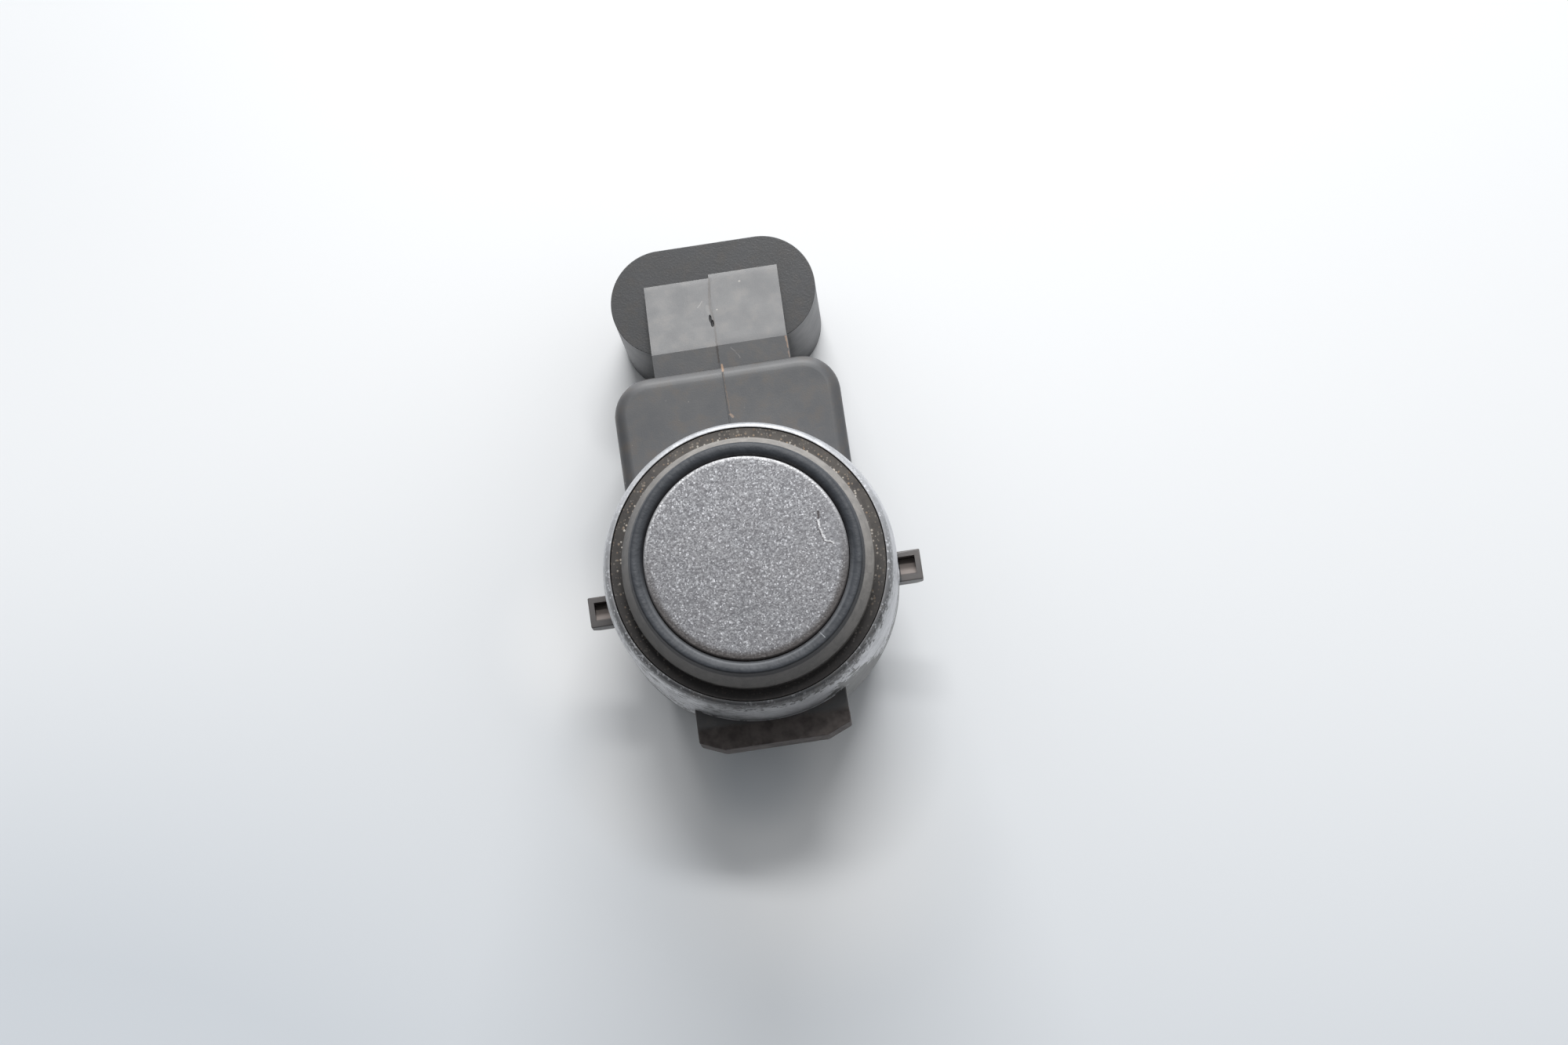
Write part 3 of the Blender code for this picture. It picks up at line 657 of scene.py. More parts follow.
def clamped(value):
    return node(tree_of(value), "Clamp", {"Value": value}).outputs[0]


def vector_of(operation, *values):
    made = node(tree_of(*values), "VectorMath", dict(enumerate(values)), operation=operation)
    return made.outputs["Value"] if operation in ("LENGTH", "DISTANCE", "DOT_PRODUCT") else made.outputs[0]


def scaled(vector, factor):
    inputs = {0: vector, "Scale": factor}
    return node(tree_of(vector), "VectorMath", inputs, operation="SCALE").outputs[0]


def parts_of(vector):
    return node(tree_of(vector), "SeparateXYZ", {0: vector}).outputs


def flattened(place):
    """A place without its height."""
    return vector_of("MULTIPLY", place, (1, 1, 0))


def ramp_of(value, low, high, to_low=0.0, to_high=1.0):
    """A value carried smoothly from one range to another."""
    inputs = {"Value": value, "From Min": low, "From Max": high, "To Min": to_low, "To Max": to_high}
    return node(tree_of(value), "MapRange", inputs, interpolation_type="SMOOTHSTEP").outputs["Result"]


def blend_of(share, first, second):
    """A colour between two, each given as a colour or a socket."""
    made = node(tree_of(share), "Mix", data_type="RGBA")
    first, second = (value if is_socket(value) else (*value, 1) for value in (first, second))
    give(made, {0: share, 6: first, 7: second})
    return made.outputs[2]


def make_group(name, vectors, numbers, outputs):
    """An empty shader node group, with its own input and output nodes. Numbers have a default."""
    tree = bpy.data.node_groups.new(name, "ShaderNodeTree")
    for label in vectors:
        tree.interface.new_socket(label, in_out="INPUT", socket_type="NodeSocketVector")
    for label, default in numbers.items():
        socket = tree.interface.new_socket(label, in_out="INPUT", socket_type="NodeSocketFloat")
        socket.default_value = default
    for label, kind in outputs.items():
        tree.interface.new_socket(label, in_out="OUTPUT", socket_type="NodeSocket" + kind)
    return tree, tree.nodes.new("NodeGroupInput").outputs, tree.nodes.new("NodeGroupOutput").inputs


def use(group, **inputs):
    """A group placed in a material, with its inputs given by name."""
    made = node(tree_of(*inputs.values()), "Group", node_tree=group)
    give(made, inputs)
    return made.outputs


def make_round_place():
    """A place told by its angle from the key, its distance from the axis and its height."""
    outputs = {"Angle": "Float", "Radius": "Float", "Height": "Float", "Unrolled": "Vector"}
    tree, given, out = make_group("round_place", ["Place"], {}, outputs)
    parts = parts_of(given["Place"])
    angle = math_of("ARCTAN2", parts["X"], times(parts["Y"], -1.0))
    radius = vector_of("LENGTH", flattened(given["Place"]))
    around = times(angle, BARREL_RADIUS / MM)
    unrolled = node(tree, "CombineXYZ", {"X": around, "Y": radius, "Z": parts["Z"]}).outputs[0]
    link(math_of("DEGREES", angle), out["Angle"])
    link(radius, out["Radius"])
    link(parts["Z"], out["Height"])
    link(unrolled, out["Unrolled"])
    return tree


def make_mottle():
    """Soft patches of a given size. Contrast sharpens them and Balance moves their middle."""
    numbers = {"Size": 1.0, "Contrast": 1.0, "Balance": 0.5}
    tree, given, out = make_group("mottle", ["Place"], numbers, {"Mask": "Float"})
    scale = math_of("DIVIDE", 1.0, given["Size"])
    inputs = {"Vector": given["Place"], "Scale": scale, "Detail": 3.0, "Roughness": 0.6}
    noise = node(tree, "TexNoise", inputs).outputs[0]
    spread = times(minus(noise, given["Balance"]), times(given["Contrast"], 3.0))
    link(clamped(plus(spread, 0.5)), out["Mask"])
    return tree


def make_specks():
    """Round specks, one to a cell, in a share of the cells."""
    numbers = {"Spacing": 1.0, "Size": 0.2, "Share": 0.3}
    tree, given, out = make_group("specks", ["Place"], numbers, {"Mask": "Float", "Tone": "Float"})
    scale = math_of("DIVIDE", 1.0, given["Spacing"])
    cells = node(tree, "TexVoronoi", {"Vector": given["Place"], "Scale": scale}).outputs
    parts = node(tree, "SeparateColor", {0: cells["Color"]}).outputs
    away = times(cells["Distance"], given["Spacing"])
    reach = times(given["Size"], plus(parts["Green"], 0.4))
    soft = ramp_of(minus(reach, away), 0.0, 0.04)
    link(times(soft, below(parts["Red"], given["Share"])), out["Mask"])
    link(parts["Blue"], out["Tone"])
    return tree


def make_mark():
    """A thin line seen from the front, from one place to another, with a wavering edge."""
    numbers = {"Width": 0.1, "Waver": 0.05}
    tree, given, out = make_group("mark", ["Place", "From", "To"], numbers, {"Mask": "Float"})
    flat = flattened(given["Place"])
    noise = node(tree, "TexNoise", {"Vector": flat, "Scale": 4.0, "Detail": 2.0}).outputs["Color"]
    sway = scaled(vector_of("SUBTRACT", noise, (0.5, 0.5, 0.5)), given["Waver"])
    here = vector_of("SUBTRACT", vector_of("ADD", flat, sway), given["From"])
    run = vector_of("SUBTRACT", given["To"], given["From"])
    along = vector_of("DOT_PRODUCT", here, run)
    share = clamped(math_of("DIVIDE", along, vector_of("DOT_PRODUCT", run, run)))
    away = vector_of("DISTANCE", here, scaled(run, share))
    mask = ramp_of(math_of("DIVIDE", away, given["Width"]), 1.0, 0.35)
    link(mask, out["Mask"])
    return tree


def make_flakes():
    """Metal flakes: a tone for each grain and a normal that leans its own way."""
    outputs = {"Tone": "Float", "Glint": "Float", "Normal": "Vector"}
    tree, given, out = make_group("flakes", ["Place"], {"Size": 0.2, "Lean": 0.3}, outputs)
    scale = math_of("DIVIDE", 1.0, given["Size"])
    fine = node(tree, "TexVoronoi", {"Vector": given["Place"], "Scale": scale}).outputs
    coarse_scale = times(scale, 0.55)
    coarse = node(tree, "TexVoronoi", {"Vector": given["Place"], "Scale": coarse_scale}).outputs
    fine_tone = node(tree, "SeparateColor", {0: fine["Color"]}).outputs
    coarse_tone = node(tree, "SeparateColor", {0: coarse["Color"]}).outputs
    tone = plus(times(fine_tone["Red"], 0.7), times(coarse_tone["Red"], 0.3))
    lean = scaled(vector_of("SUBTRACT", fine["Color"], (0.5, 0.5, 0.5)), given["Lean"])
    surface = node(tree, "NewGeometry").outputs["Normal"]
    normal = vector_of("NORMALIZE", vector_of("ADD", surface, lean))
    link(tone, out["Tone"])
    link(ramp_of(fine_tone["Green"], 0.86, 0.98), out["Glint"])
    link(normal, out["Normal"])
    return tree


round_place = make_round_place()
mottle = make_mottle()
specks = make_specks()
mark = make_mark()
flakes = make_flakes()


def start_finish(name, roughness=0.5, metallic=0.0):
    """A new material, its shader, and the place on the piece in millimetres."""
    material = bpy.data.materials.new(name)
    material.use_nodes = True
    tree = material.node_tree
    shader = tree.nodes["Principled BSDF"].inputs
    shader["Roughness"].default_value = roughness
    shader["Metallic"].default_value = metallic
    place = node(tree, "TexCoord").outputs["Object"]
    place = node(tree, "Mapping", {"Vector": place, "Scale": (1000, 1000, 1000)}).outputs[0]
    return material, shader, place


def relief(shader, height, depth, normal=None):
    """Bumps that stand out by up to depth millimetres."""
    inputs = {"Height": height, "Distance": depth * MM}
    if normal:
        inputs["Normal"] = normal
    made = node(tree_of(height), "Bump", inputs)
    link(made.outputs[0], shader["Normal"])


def patches_of(place, size, contrast, balance=0.5):
    """The mask of soft patches of this size."""
    return use(mottle, Place=place, Size=size, Contrast=contrast, Balance=balance)["Mask"]


def line_mask(place, start, end, width, waver):
    """The mask of a thin line between two (x, y) places on the front."""
    return use(mark, Place=place, From=(*start, 0), To=(*end, 0), Width=width, Waver=waver)["Mask"]


def off_angle(round_at, middle):
    """How many degrees a place lies off a direction round the axis."""
    return absolute(minus(round_at["Angle"], middle))


def plain_finish(name, dark, light, patch, grain, roughness, metallic=0.0, depth=0.01):
    """A finish with soft patches of two colours, a fine grain and an uneven sheen."""
    material, shader, place = start_finish(name, roughness, metallic)
    patches = patches_of(place, patch, 1.0)
    fine = patches_of(place, grain, 1.2)
    both = plus(times(patches, 0.6), times(fine, 0.4))
    link(blend_of(both, dark, light), shader["Base Color"])
    link(ramp_of(both, 0.0, 1.0, roughness + 0.07, roughness - 0.07), shader["Roughness"])
    relief(shader, fine, depth)
    return material


def scratched(place, paint):
    """A scratch at the disc's right: a dark nick, then a pale line that turns towards the edge."""
    nick = line_mask(place, (5.86, 2.62), (5.82, 2.15), 0.13, 0.2)
    paint = blend_of(times(nick, 0.9), paint, (0.03, 0.02, 0.02))
    for start, end, width in (
        ((5.76, 1.9), (5.8, 1.5), 0.13),
        ((5.85, 1.3), (6.02, 0.6), 0.1),
        ((6.12, 0.42), (6.7, 0.1), 0.12),
    ):
        line = line_mask(place, start, end, width, 0.25)
        paint = blend_of(times(line, 0.8), paint, (0.66, 0.66, 0.67))
        beside_start = (start[0] - 0.13, start[1] - 0.02)
        beside_end = (end[0] - 0.12, end[1] - 0.03)
        shade = line_mask(place, beside_start, beside_end, 0.08, 0.25)
        paint = blend_of(times(shade, 0.75), paint, (0.05, 0.042, 0.046))
    return paint


def membrane_finish():
    """Coarse silver paint on the face, a rubbed soft patch with a scratch, painted shade and a painted
    highlight round its edge, and a bare wall.
    """
    material, shader, place = start_finish("coarse_silver_paint", 0.45)
    round_at = use(round_place, Place=place)
    from_key = absolute(round_at["Angle"])
    grains = use(flakes, Place=place, Size=0.1, Lean=0.14)
    cloud = patches_of(place, 0.32, 0.8)
    broad = patches_of(place, 3.0, 0.7)
    tone = plus(times(grains["Tone"], 0.82), times(cloud, 0.18))
    # the paint is smoother and paler over the rounded edge and in the rubbed patch
    edge = ramp_of(round_at["Radius"], 7.42, 7.58)
    rubbed = line_mask(place, (6.9, 3.2), (7.1, -0.2), 0.75, 0.9)
    calm = largest(times(edge, 0.7), times(rubbed, 0.75))
    tone = plus(tone, times(calm, minus(0.5, tone)))
    paint = blend_of(ramp_of(tone, 0.22, 0.8), (0.158, 0.157, 0.17), (0.28, 0.283, 0.297))
    glint = times(grains["Glint"], minus(1.0, calm))
    paint = blend_of(times(glint, 0.6), paint, (0.66, 0.67, 0.7))
    paint = blend_of(times(broad, 0.12), paint, (0.3, 0.27, 0.26))
    paint = scratched(place, paint)
    # the edge has painted shade, with some brown soil, on the key's side, and a painted highlight on the
    # other
    low_side = ramp_of(from_key, 115.0, 60.0)
    soil_and_shade = times(low_side, ramp_of(round_at["Radius"], 6.95, 7.5, 0.0, 0.9))
    paint = blend_of(soil_and_shade, paint, (0.056, 0.048, 0.045))
    bare = ramp_of(round_at["Height"], -0.22, -0.32)
    edge_highlight = times(edge, ramp_of(from_key, 85.0, 130.0))
    paint = blend_of(times(edge_highlight, minus(1.0, bare)), paint, (0.4, 0.4, 0.41))
    # below its edge the cup is bare and stained
    stain = patches_of(place, 0.5, 1.0)
    wall = blend_of(stain, (0.07, 0.045, 0.04), (0.16, 0.12, 0.11))
    link(blend_of(bare, paint, wall), shader["Base Color"])
    link(plus(times(edge_highlight, 0.3), 0.2), shader["Metallic"])
    dull = ramp_of(grains["Tone"], 0.0, 1.0, 0.58, 0.4)
    link(plus(dull, times(edge_highlight, -0.12)), shader["Roughness"])
    relief(shader, cloud, 0.02, grains["Normal"])
    return material


def bead_painted_light(round_at, from_key, rubber):
    """Painted light on the bead: painted shade where it dips to the cup away from the key and where it
    turns down to the flank on the key's side, and a painted highlight on its inner slope on the key's side.
    """
    radius = round_at["Radius"]
    for tone, inner, outer, near_angle, far_angle, share in (
        ((0.008, 0.008, 0.009), 8.3, 7.85, 60.0, 120.0, 0.75),
        ((0.006, 0.006, 0.007), 8.62, 8.76, 110.0, 70.0, 0.8),
        ((0.2, 0.207, 0.22), 8.2, 7.92, 105.0, 55.0, 0.72),
    ):
        band = ramp_of(radius, inner, outer)
        mask = times(band, ramp_of(from_key, near_angle, far_angle, 0.0, share))
        rubber = blend_of(mask, rubber, tone)
    return rubber


def silicone_finish():
    """Soft dark rubber with painted light on its bead, a brown film on its flank, and dirt and grit in the
    groove, both giving way to painted shade towards the key and at the left.
    """
    material, shader, place = start_finish("dusty_silicone", 0.42)
    round_at = use(round_place, Place=place)
    radius = round_at["Radius"]
    from_key = absolute(round_at["Angle"])
    off_left = off_angle(round_at, -90.0)
    cloud = patches_of(place, 1.4, 0.8)
    rubber = blend_of(cloud, (0.03, 0.034, 0.041), (0.048, 0.053, 0.063))
    # painted shade and a painted highlight on the bead, set by the side it faces
    rubber = bead_painted_light(round_at, from_key, rubber)
    # the flank's brown film is thinned at the left and towards the key as painted shade
    film = patches_of(round_at["Unrolled"], 0.8, 1.0)
    film_and_shade = times(
        ramp_of(radius, 8.91, 8.97),
        ramp_of(film, 0.0, 1.0, 0.75, 1.0),
        ramp_of(from_key, 20.0, 90.0, 0.48, 1.0),
        ramp_of(off_left, 20.0, 70.0, 0.5, 1.0),
    )
    rubber = blend_of(film_and_shade, rubber, (0.3, 0.283, 0.264))
    # the groove's dirt gives way to painted shade towards the key and at the left, and grit lies against
    # the flank's foot, less in that painted shade
    groove = ramp_of(radius, 9.56, 9.62)
    spread = ramp_of(from_key, 30.0, 160.0, 0.05, 1.0)
    groove_shade = (0.028, 0.026, 0.026)
    patches = patches_of(round_at["Unrolled"], 1.2, 0.9)
    dirt = blend_of(patches, (0.125, 0.118, 0.115), (0.19, 0.175, 0.16))
    dirt = blend_of(spread, groove_shade, dirt)
    dirt = blend_of(ramp_of(off_left, 60.0, 20.0, 0.0, 0.5), dirt, groove_shade)
    rubber = blend_of(groove, rubber, dirt)
    grit = use(specks, Place=place, Spacing=0.2, Size=0.09, Share=0.55)
    foot = times(groove, ramp_of(radius, 10.2, 9.75, 0.3, 1.0))
    grit_mask = times(grit["Mask"], times(foot, spread))
    grit_tint = blend_of(grit["Tone"], (0.45, 0.31, 0.2), (0.75, 0.72, 0.66))
    rubber = blend_of(grit_mask, rubber, grit_tint)
    # a few pale specks, and a small cut in the bead
    lone = use(specks, Place=place, Spacing=1.7, Size=0.06, Share=0.25)["Mask"]
    rubber = blend_of(times(lone, 0.8), rubber, (0.42, 0.42, 0.42))
    cut = line_mask(place, (4.6, -6.3), (4.98, -6.85), 0.05, 0.05)
    rubber = blend_of(times(cut, 0.8), rubber, (0.3, 0.31, 0.33))
    link(rubber, shader["Base Color"])
    matt = largest(film_and_shade, times(groove, 1.8))
    link(ramp_of(matt, 0.0, 1.8, 0.5, 0.95), shader["Roughness"])
    relief(shader, plus(film, grit_mask), 0.02)
    return material


def settled_dust(parts, facing_up, from_key):
    """Dust on what faces up: most on the box, less on the ramp and the socket, and little at the key."""
    on_ramp = ramp_of(parts["Z"], -13.5, -13.2, 0.13, 0.4)
    on_box = ramp_of(parts["Z"], -10.9, -10.3, 0.0, 0.55)
    off_key = ramp_of(from_key, 20.0, 70.0, 0.3, 1.0)
    return times(plus(on_ramp, on_box), facing_up, off_key)


def dusty_plastic(place, parts, cloud, settled):
    """Black plastic with settled dust, a painted highlight along the box's far top edge, brown dirt and
    pale specks.
    """
    plastic = blend_of(cloud, (0.028, 0.029, 0.032), (0.037, 0.037, 0.038))
    dust = blend_of(cloud, (0.071, 0.073, 0.078), (0.09, 0.089, 0.09))
    plastic = blend_of(settled, plastic, dust)
    # the rounded far edge of the box's top, tilted to the light, gets a painted highlight
    far = ramp_of(parts["Y"], 15.3, 16.3, 0.0, 0.6)
    far_edge_highlight = times(far, ramp_of(parts["Z"], -10.5, -9.9))
    plastic = blend_of(far_edge_highlight, plastic, (0.17, 0.17, 0.172))
    dirt = patches_of(place, 1.1, 1.6, 0.6)
    dirt = times(dirt, ramp_of(parts["Z"], -11.0, -10.4, 0.2, 0.36))
    plastic = blend_of(dirt, plastic, (0.1, 0.078, 0.06))
    dots = use(specks, Place=place, Spacing=1.0, Size=0.09, Share=0.3)["Mask"]
    return blend_of(times(dots, 0.6), plastic, (0.3, 0.28, 0.25))


def soiled_key_and_lugs(place, parts, stained, plastic):
    """Brown stains on the key, and dust on the lugs, most of all in their pockets."""
    blotch = patches_of(place, 0.9, 1.2)
    stain = blend_of(blotch, (0.052, 0.042, 0.039), (0.11, 0.094, 0.087))
    plastic = blend_of(stained, plastic, stain)
    out_to_side = absolute(parts["X"])
    off_middle = absolute(plus(parts["Y"], 0.7))
    sunk = ramp_of(parts["Z"], -12.25, -12.4)
    pockets = times(below(out_to_side, 12.63), below(off_middle, 0.73), sunk)
    dusted = times(above(out_to_side, 11.4), ramp_of(pockets, 0.0, 1.0, 0.2, 0.8))
    return blend_of(dusted, plastic, (0.3, 0.26, 0.24))


def seam_marks(place, parts, plastic):
    """Marks along the mould's seam and the neck's right edge, and two fine scratches beside the seam."""
    rust, dark, pale = (0.4, 0.26, 0.17), (0.022, 0.016, 0.013), (0.3, 0.29, 0.28)
    on_neck, on_ramp = -10.8, -13.6
    for start, end, width, strength, tint, lowest in (
        ((0.0, 16.9), (0.02, 16.3), 0.14, 0.75, (0.42, 0.27, 0.17), on_ramp),
        ((0.02, 16.3), (0.05, 14.6), 0.05, 0.35, (0.25, 0.17, 0.11), on_ramp),
        ((0.05, 14.6), (0.12, 12.9), 0.06, 0.35, (0.24, 0.17, 0.12), on_ramp),
        ((0.1, 12.75), (0.3, 12.55), 0.13, 0.6, (0.35, 0.25, 0.18), on_ramp),
        ((-0.12, 24.5), (-0.36, 21.9), 0.15, 0.9, dark, on_ramp),
        ((-0.36, 21.9), (-0.19, 21.0), 0.13, 0.9, dark, on_ramp),
        ((-0.19, 21.0), (-0.15, 20.3), 0.13, 0.9, dark, on_ramp),
        ((-0.15, 20.3), (-0.2, 17.2), 0.13, 0.8, (0.03, 0.022, 0.018), on_ramp),
        ((-0.55, 22.1), (-0.48, 21.5), 0.2, 0.35, (0.14, 0.135, 0.13), on_ramp),
        ((0.9, 18.2), (1.5, 17.3), 0.05, 0.35, pale, on_ramp),
        ((-0.9, 22.6), (-1.3, 22.1), 0.06, 0.35, pale, on_ramp),
        ((5.28, 18.4), (5.36, 17.5), 0.11, 0.6, rust, on_neck),
        ((5.37, 17.3), (5.38, 16.8), 0.13, 0.5, rust, on_neck),
    ):
        line = line_mask(place, start, end, width, 0.18)
        seen = times(line, above(parts["Z"], lowest), strength)
        plastic = blend_of(seen, plastic, tint)
    return plastic


def ragged_end(round_at, slow, quick):
    """One above the ragged line where the overspray ends. The line lies highest beside the key."""
    limit = plus(times(slow, -4.6), times(quick, -3.2))
    fall = ramp_of(off_angle(round_at, 35.0), 4.0, 18.0, -2.5, -9.0)
    over = minus(round_at["Height"], plus(limit, fall))
    return ramp_of(over, -0.03, 0.03)


def rubbed_rim_and_shade(place, round_at, from_key):
    """Where the paint is rubbed to specks on the rim's top; on the key's side this also paints the shade
    that falls there, so it is strongest there.
    """
    rim_top = ramp_of(round_at["Radius"], 11.08, 10.9)
    grains = use(specks, Place=place, Spacing=0.2, Size=0.11, Share=0.5)["Mask"]
    grains = times(grains, ramp_of(from_key, 20.0, 90.0, 0.35, 1.0))
    rubbed = times(rim_top, ramp_of(from_key, 150.0, 50.0, 0.12, 0.9))
    return times(rubbed, minus(1.0, times(grains, 0.85)))


def cracked_shoulder(round_at, quick):
    """A broken line of cracks along the rim's shoulder, on the right of the key."""
    sway = times(minus(quick, 0.5), 0.1)
    off_crack = absolute(plus(minus(round_at["Radius"], 10.94), sway))
    broken = patches_of(round_at["Unrolled"], 0.4, 3.0)
    return times(
        ramp_of(off_crack, 0.17, 0.1),
        broken,
        above(round_at["Height"], -5.0),
        ramp_of(off_angle(round_at, 30.0), 60.0, 40.0),
    )


def spray_paint(place, slow, crinkled, from_key):
    """Silver paint with fine flakes, pale crinkles on the left, and darker towards the key."""
    glitter = use(flakes, Place=place, Size=0.1, Lean=0.2)["Tone"]
    sheen = plus(times(glitter, 0.5), times(slow, 0.5))
    paint = blend_of(sheen, (0.42, 0.43, 0.445), (0.68, 0.69, 0.72))
    paint = blend_of(crinkled, paint, (0.72, 0.73, 0.74))
    darker_by_key = ramp_of(from_key, 42.0, 18.0, 0.0, 0.4)
    return blend_of(darker_by_key, paint, (0.12, 0.12, 0.125))


def housing_finish():
    """Black moulded plastic with dust and dirt, and worn silver overspray on the barrel's front."""
    material, shader, place = start_finish("housing_plastic", 0.38)
    round_at = use(round_place, Place=place)
    radius, height, unrolled = round_at["Radius"], round_at["Height"], round_at["Unrolled"]
    from_key = absolute(round_at["Angle"])
    parts = parts_of(place)
    facing = parts_of(node(material.node_tree, "TexCoord").outputs["Normal"])["Z"]
    facing_up = ramp_of(facing, 0.3, 0.8)
    cloud = patches_of(place, 2.2, 0.9)
    settled = settled_dust(parts, facing_up, from_key)
    stained = times(ramp_of(parts["Y"], -11.0, -11.6), 0.9)
    plastic = dusty_plastic(place, parts, cloud, settled)
    plastic = soiled_key_and_lugs(place, parts, stained, plastic)
    plastic = seam_marks(place, parts, plastic)

    # the barrel's wall is a dusty grey under the overspray
    slow = patches_of(unrolled, 1.5, 1.2)
    quick = patches_of(unrolled, 0.5, 3.0)
    on_barrel = times(below(radius, 11.36), above(height, -16.25))
    wall = times(on_barrel, ramp_of(radius, 11.1, 11.2))
    plastic = blend_of(times(wall, 0.75), plastic, (0.08, 0.084, 0.078))
    outside = above(radius, 10.52)
    sprayed = times(ragged_end(round_at, slow, quick), times(on_barrel, outside))

    # the overspray is rubbed on the rim, with painted shade there on the key's side, cracked along its
    # shoulder and crinkled on the left
    stretch = {"Vector": unrolled, "Scale": (0.55, 1.0, 2.6)}
    drawn = node(material.node_tree, "Mapping", stretch).outputs[0]
    crinkle = patches_of(drawn, 0.42, 2.2)
    left = ramp_of(off_angle(round_at, -55.0), 60.0, 35.0, 0.25, 1.0)
    left = times(left, ramp_of(height, -3.7, -4.3))
    gaps = times(ramp_of(crinkle, 0.3, 0.05), left)
    crack = cracked_shoulder(round_at, quick)
    wear_and_shade = largest(crack, times(gaps, 0.75))
    wear_and_shade = largest(rubbed_rim_and_shade(place, round_at, from_key), wear_and_shade)
    silver = times(sprayed, minus(1.0, wear_and_shade))
    paint = spray_paint(place, slow, times(crinkle, times(left, 0.6)), from_key)

    # the cracks are black, and the rim's inner lip has a painted highlight away from the key
    under = blend_of(times(crack, 0.9), plastic, (0.01, 0.01, 0.01))
    off_key = ramp_of(from_key, 10.0, 45.0, 0.0, 0.35)
    lip = times(ramp_of(radius, 10.62, 10.55), outside, off_key, above(height, -3.6))
    under = blend_of(lip, under, (0.35, 0.35, 0.35))
    link(blend_of(silver, under, paint), shader["Base Color"])
    link(times(silver, 0.35), shader["Metallic"])

    # dust, stains, paint and walls are duller than bare plastic that faces up
    uneven = ramp_of(cloud, 0.0, 1.0, 0.25, 0.21)
    dull = plus(times(settled, 0.24), times(stained, 0.6))
    dull = largest(dull, times(silver, 0.14))
    dull = largest(dull, ramp_of(facing_up, 0.0, 1.0, 0.15, 0.0))
    link(plus(uneven, dull), shader["Roughness"])
    grain = patches_of(place, 0.12, 1.0)
    relief(shader, plus(times(grain, 0.06), silver), 0.035)
    return material


def floor_finish():
    """A pale sheet with painted shade that darkens it to blue-grey towards the viewer, in the corners and
    at the left, and that holds the cast shadow.
    """
    material, shader, place = start_finish("pale_floor", 0.9)
    shader["Specular IOR Level"].default_value = 0.0
    along = vector_of("DOT_PRODUCT", place, tuple(PHOTO_UP))
    across = vector_of("DOT_PRODUCT", place, (PHOTO_UP.y, -PHOTO_UP.x, 0))
    # painted shade: the sheet darkens towards the viewer, in the corners and at the lower and upper left
    near = clamped(math_of("DIVIDE", minus(51.0, along), 86.0))
    fade = math_of("POWER", near, 1.31)
    sides = ramp_of(absolute(minus(across, 2.0)), 20.0, 80.0)
    corners = times(sides, ramp_of(along, -10.0, 50.0, 0.0, 0.24))
    low_left = times(ramp_of(across, 0.0, -60.0), ramp_of(along, 20.0, -40.0, 0.0, 0.38))
    high_left = times(ramp_of(across, -20.0, -70.0), ramp_of(along, 0.0, 50.0, 0.0, 0.2))
    shade = plus(fade, plus(corners, plus(low_left, high_left)))
    # the painted shade is eased at the left and under the cast shadow, and a painted contact shadow darkens
    # a spot at the key
    flat = flattened(place)
    for spot, reach, share in (
        ((-14.5, -1.0, 0), 9.0, 0.35),
        ((-11.5, -13.0, 0), 8.0, 0.5),
        ((1.0, -19.5, 0), 15.0, 0.3),
    ):
        away = vector_of("DISTANCE", flat, spot)
        shade = times(shade, ramp_of(away, 2.0, reach, share, 1.0))
    off_key = vector_of("DISTANCE", flat, (-2.3, -13.5, 0))
    shade = plus(shade, ramp_of(off_key, 6.0, 1.5, 0.0, 0.7))
    seen = blend_of(times(shade, 0.8), (0.942, 0.946, 0.949), (0.615, 0.647, 0.683))
    camera_ray = node(material.node_tree, "LightPath").outputs["Is Camera Ray"]
    link(blend_of(camera_ray, (0.8, 0.81, 0.83), seen), shader["Base Color"])
    return material


def make_pieces():
    # after the two colours come the sizes of patch and grain, roughness, metallic and relief depth
    tin = plain_finish("tinned_brass", (0.5, 0.48, 0.44), (0.72, 0.7, 0.67), 0.8, 0.08, 0.3, 1.0, 0.004)
    make_membrane_cup(membrane_finish())
    make_decoupling_ring(silicone_finish())
    make_housing(housing_finish())
    for name, side in (("supply", -1), ("signal", 0), ("ground", 1)):
        make_contact("terminal_" + name, side * PIN_PITCH, tin)
    resin = plain_finish("sealing_compound", (0.014, 0.014, 0.015), (0.03, 0.029, 0.029), 3.0, 0.3, 0.3)
    make_compound(resin)


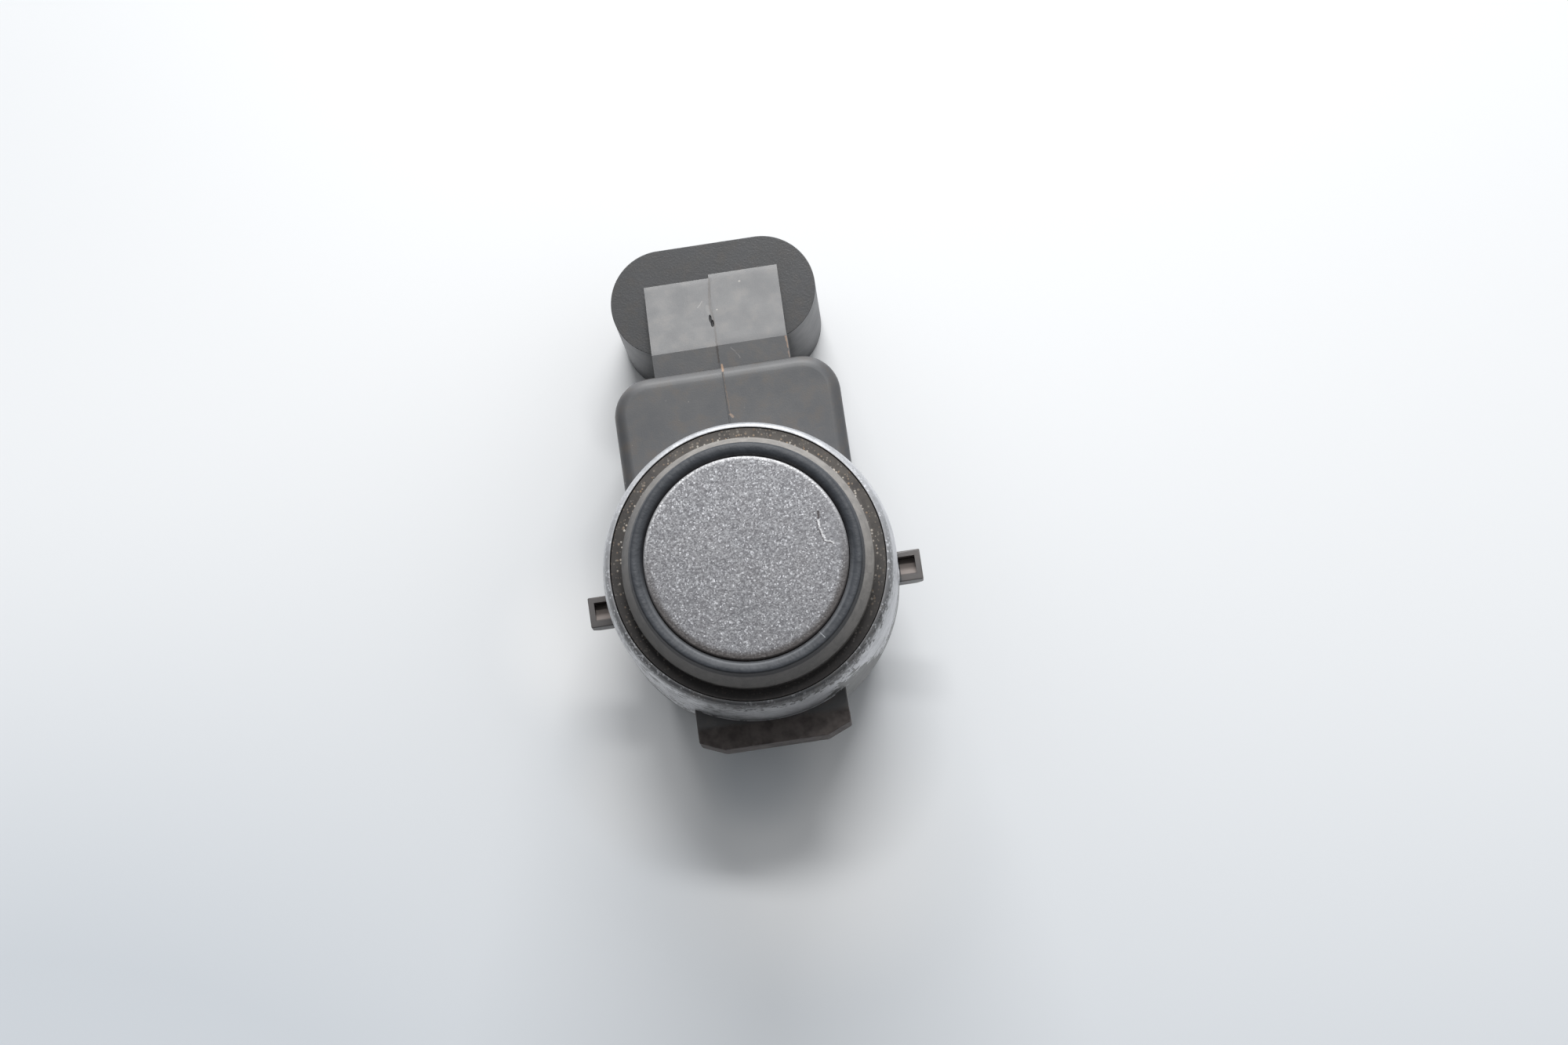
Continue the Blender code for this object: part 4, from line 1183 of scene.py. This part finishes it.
def dress_inner_nodes():
    """Finishes for the CAD nodes that keep their own shape."""
    foam = plain_finish("damping_felt", (0.3, 0.3, 0.28), (0.6, 0.59, 0.56), 0.6, 0.08, 0.9, 0.0, 0.05)
    rubber = plain_finish("pad_rubber", (0.03, 0.03, 0.03), (0.06, 0.06, 0.06), 1.5, 0.1, 0.7)
    ceramic = plain_finish("piezo_ceramic", (0.48, 0.43, 0.32), (0.62, 0.57, 0.45), 1.2, 0.06, 0.5)
    copper = plain_finish("copper_wire", (0.55, 0.24, 0.12), (0.78, 0.42, 0.26), 0.7, 0.08, 0.3, 1.0, 0.003)
    laminate = plain_finish("board_laminate", (0.015, 0.11, 0.045), (0.035, 0.2, 0.09), 2.0, 0.15, 0.4)
    epoxy = plain_finish("chip_epoxy", (0.02, 0.02, 0.021), (0.045, 0.045, 0.047), 1.2, 0.07, 0.6)
    ferrite = plain_finish("ferrite", (0.04, 0.04, 0.042), (0.085, 0.085, 0.09), 0.8, 0.06, 0.65)
    capacitor = plain_finish("capacitor_ceramic", (0.36, 0.24, 0.14), (0.52, 0.38, 0.25), 0.8, 0.05, 0.45)
    resistor = plain_finish("resistor_glaze", (0.03, 0.03, 0.032), (0.07, 0.07, 0.072), 0.6, 0.05, 0.35)
    finishes = {
        "damping_foam": foam,
        "support_pad": rubber,
        "piezo_disc": ceramic,
        "lead_wire_signal": copper,
        "lead_wire_ground": copper,
        "circuit_board": laminate,
        "control_chip": epoxy,
        "transformer_foot": epoxy,
        "transformer_core": ferrite,
        "capacitor_1": capacitor,
        "capacitor_2": capacitor,
        "capacitor_3": capacitor,
        "resistor_1": resistor,
        "resistor_2": resistor,
    }
    for name, material in finishes.items():
        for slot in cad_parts[name].material_slots:
            slot.material = material


# Camera, floor and light


def make_camera():
    """The camera, where it stood for the photograph."""
    back = -CAMERA_AIM.normalized()
    side = Vector((0, 1, 0)).cross(back).normalized()
    up = back.cross(side)
    turn = Matrix.Rotation(-PHOTO_TURN, 3, back)
    matrix = Matrix((turn @ side, turn @ up, back)).transposed().to_4x4()
    matrix.translation = CAMERA_PLACE
    data = bpy.data.cameras.new("camera")
    data.sensor_width = 36
    data.lens = CAMERA_LENS
    data.clip_start = 0.01
    camera = bpy.data.objects.new("camera", data)
    camera.matrix_world = matrix
    bpy.context.scene.collection.objects.link(camera)
    bpy.context.scene.camera = camera


def make_floor():
    bm = bmesh.new()
    bmesh.ops.create_grid(bm, x_segments=1, y_segments=1, size=FLOOR_REACH)
    bmesh.ops.translate(bm, verts=bm.verts, vec=(0, 0, cad_box[0].z))
    solid("floor", bm, floor_finish())


def make_lamp(name, elevation, turn, width, height, power):
    """A flat lamp a metre away that faces the sensor. Turn runs from +Y towards +X, in degrees."""
    rise, swing = math.radians(elevation), math.radians(turn)
    away = Vector((math.sin(swing) * math.cos(rise), math.cos(swing) * math.cos(rise), math.sin(rise)))
    data = bpy.data.lights.new(name, "AREA")
    data.shape = "RECTANGLE"
    data.size = width
    data.size_y = height
    data.energy = power
    lamp = bpy.data.objects.new(name, data)
    lamp.matrix_world = Matrix.Translation(away) @ away.to_track_quat("Z", "Y").to_matrix().to_4x4()
    bpy.context.scene.collection.objects.link(lamp)


def make_light():
    make_lamp("main_lamp", elevation=64.2, turn=14, width=0.38, height=0.075, power=3.6)
    make_lamp("low_window", elevation=28, turn=7, width=0.68, height=0.34, power=7.1)
    world = bpy.data.worlds.new("soft_room")
    world.use_nodes = True
    tree = world.node_tree
    direction = node(tree, "TexCoord").outputs["Generated"]
    towards = vector_of("DOT_PRODUCT", direction, tuple(BRIGHT_SIDE))
    levels = {"From Min": -0.05, "To Min": DARK_SIDE_LEVEL, "To Max": BRIGHT_SIDE_LEVEL}
    strength = node(tree, "MapRange", {"Value": towards, **levels})
    background = tree.nodes["Background"]
    background.inputs["Color"].default_value = (0.96, 0.98, 1.0, 1)
    link(strength.outputs[0], background.inputs["Strength"])
    bpy.context.scene.world = world
    bpy.context.scene.view_settings.view_transform = "Standard"


make_camera()
make_pieces()
dress_inner_nodes()
make_floor()
make_light()
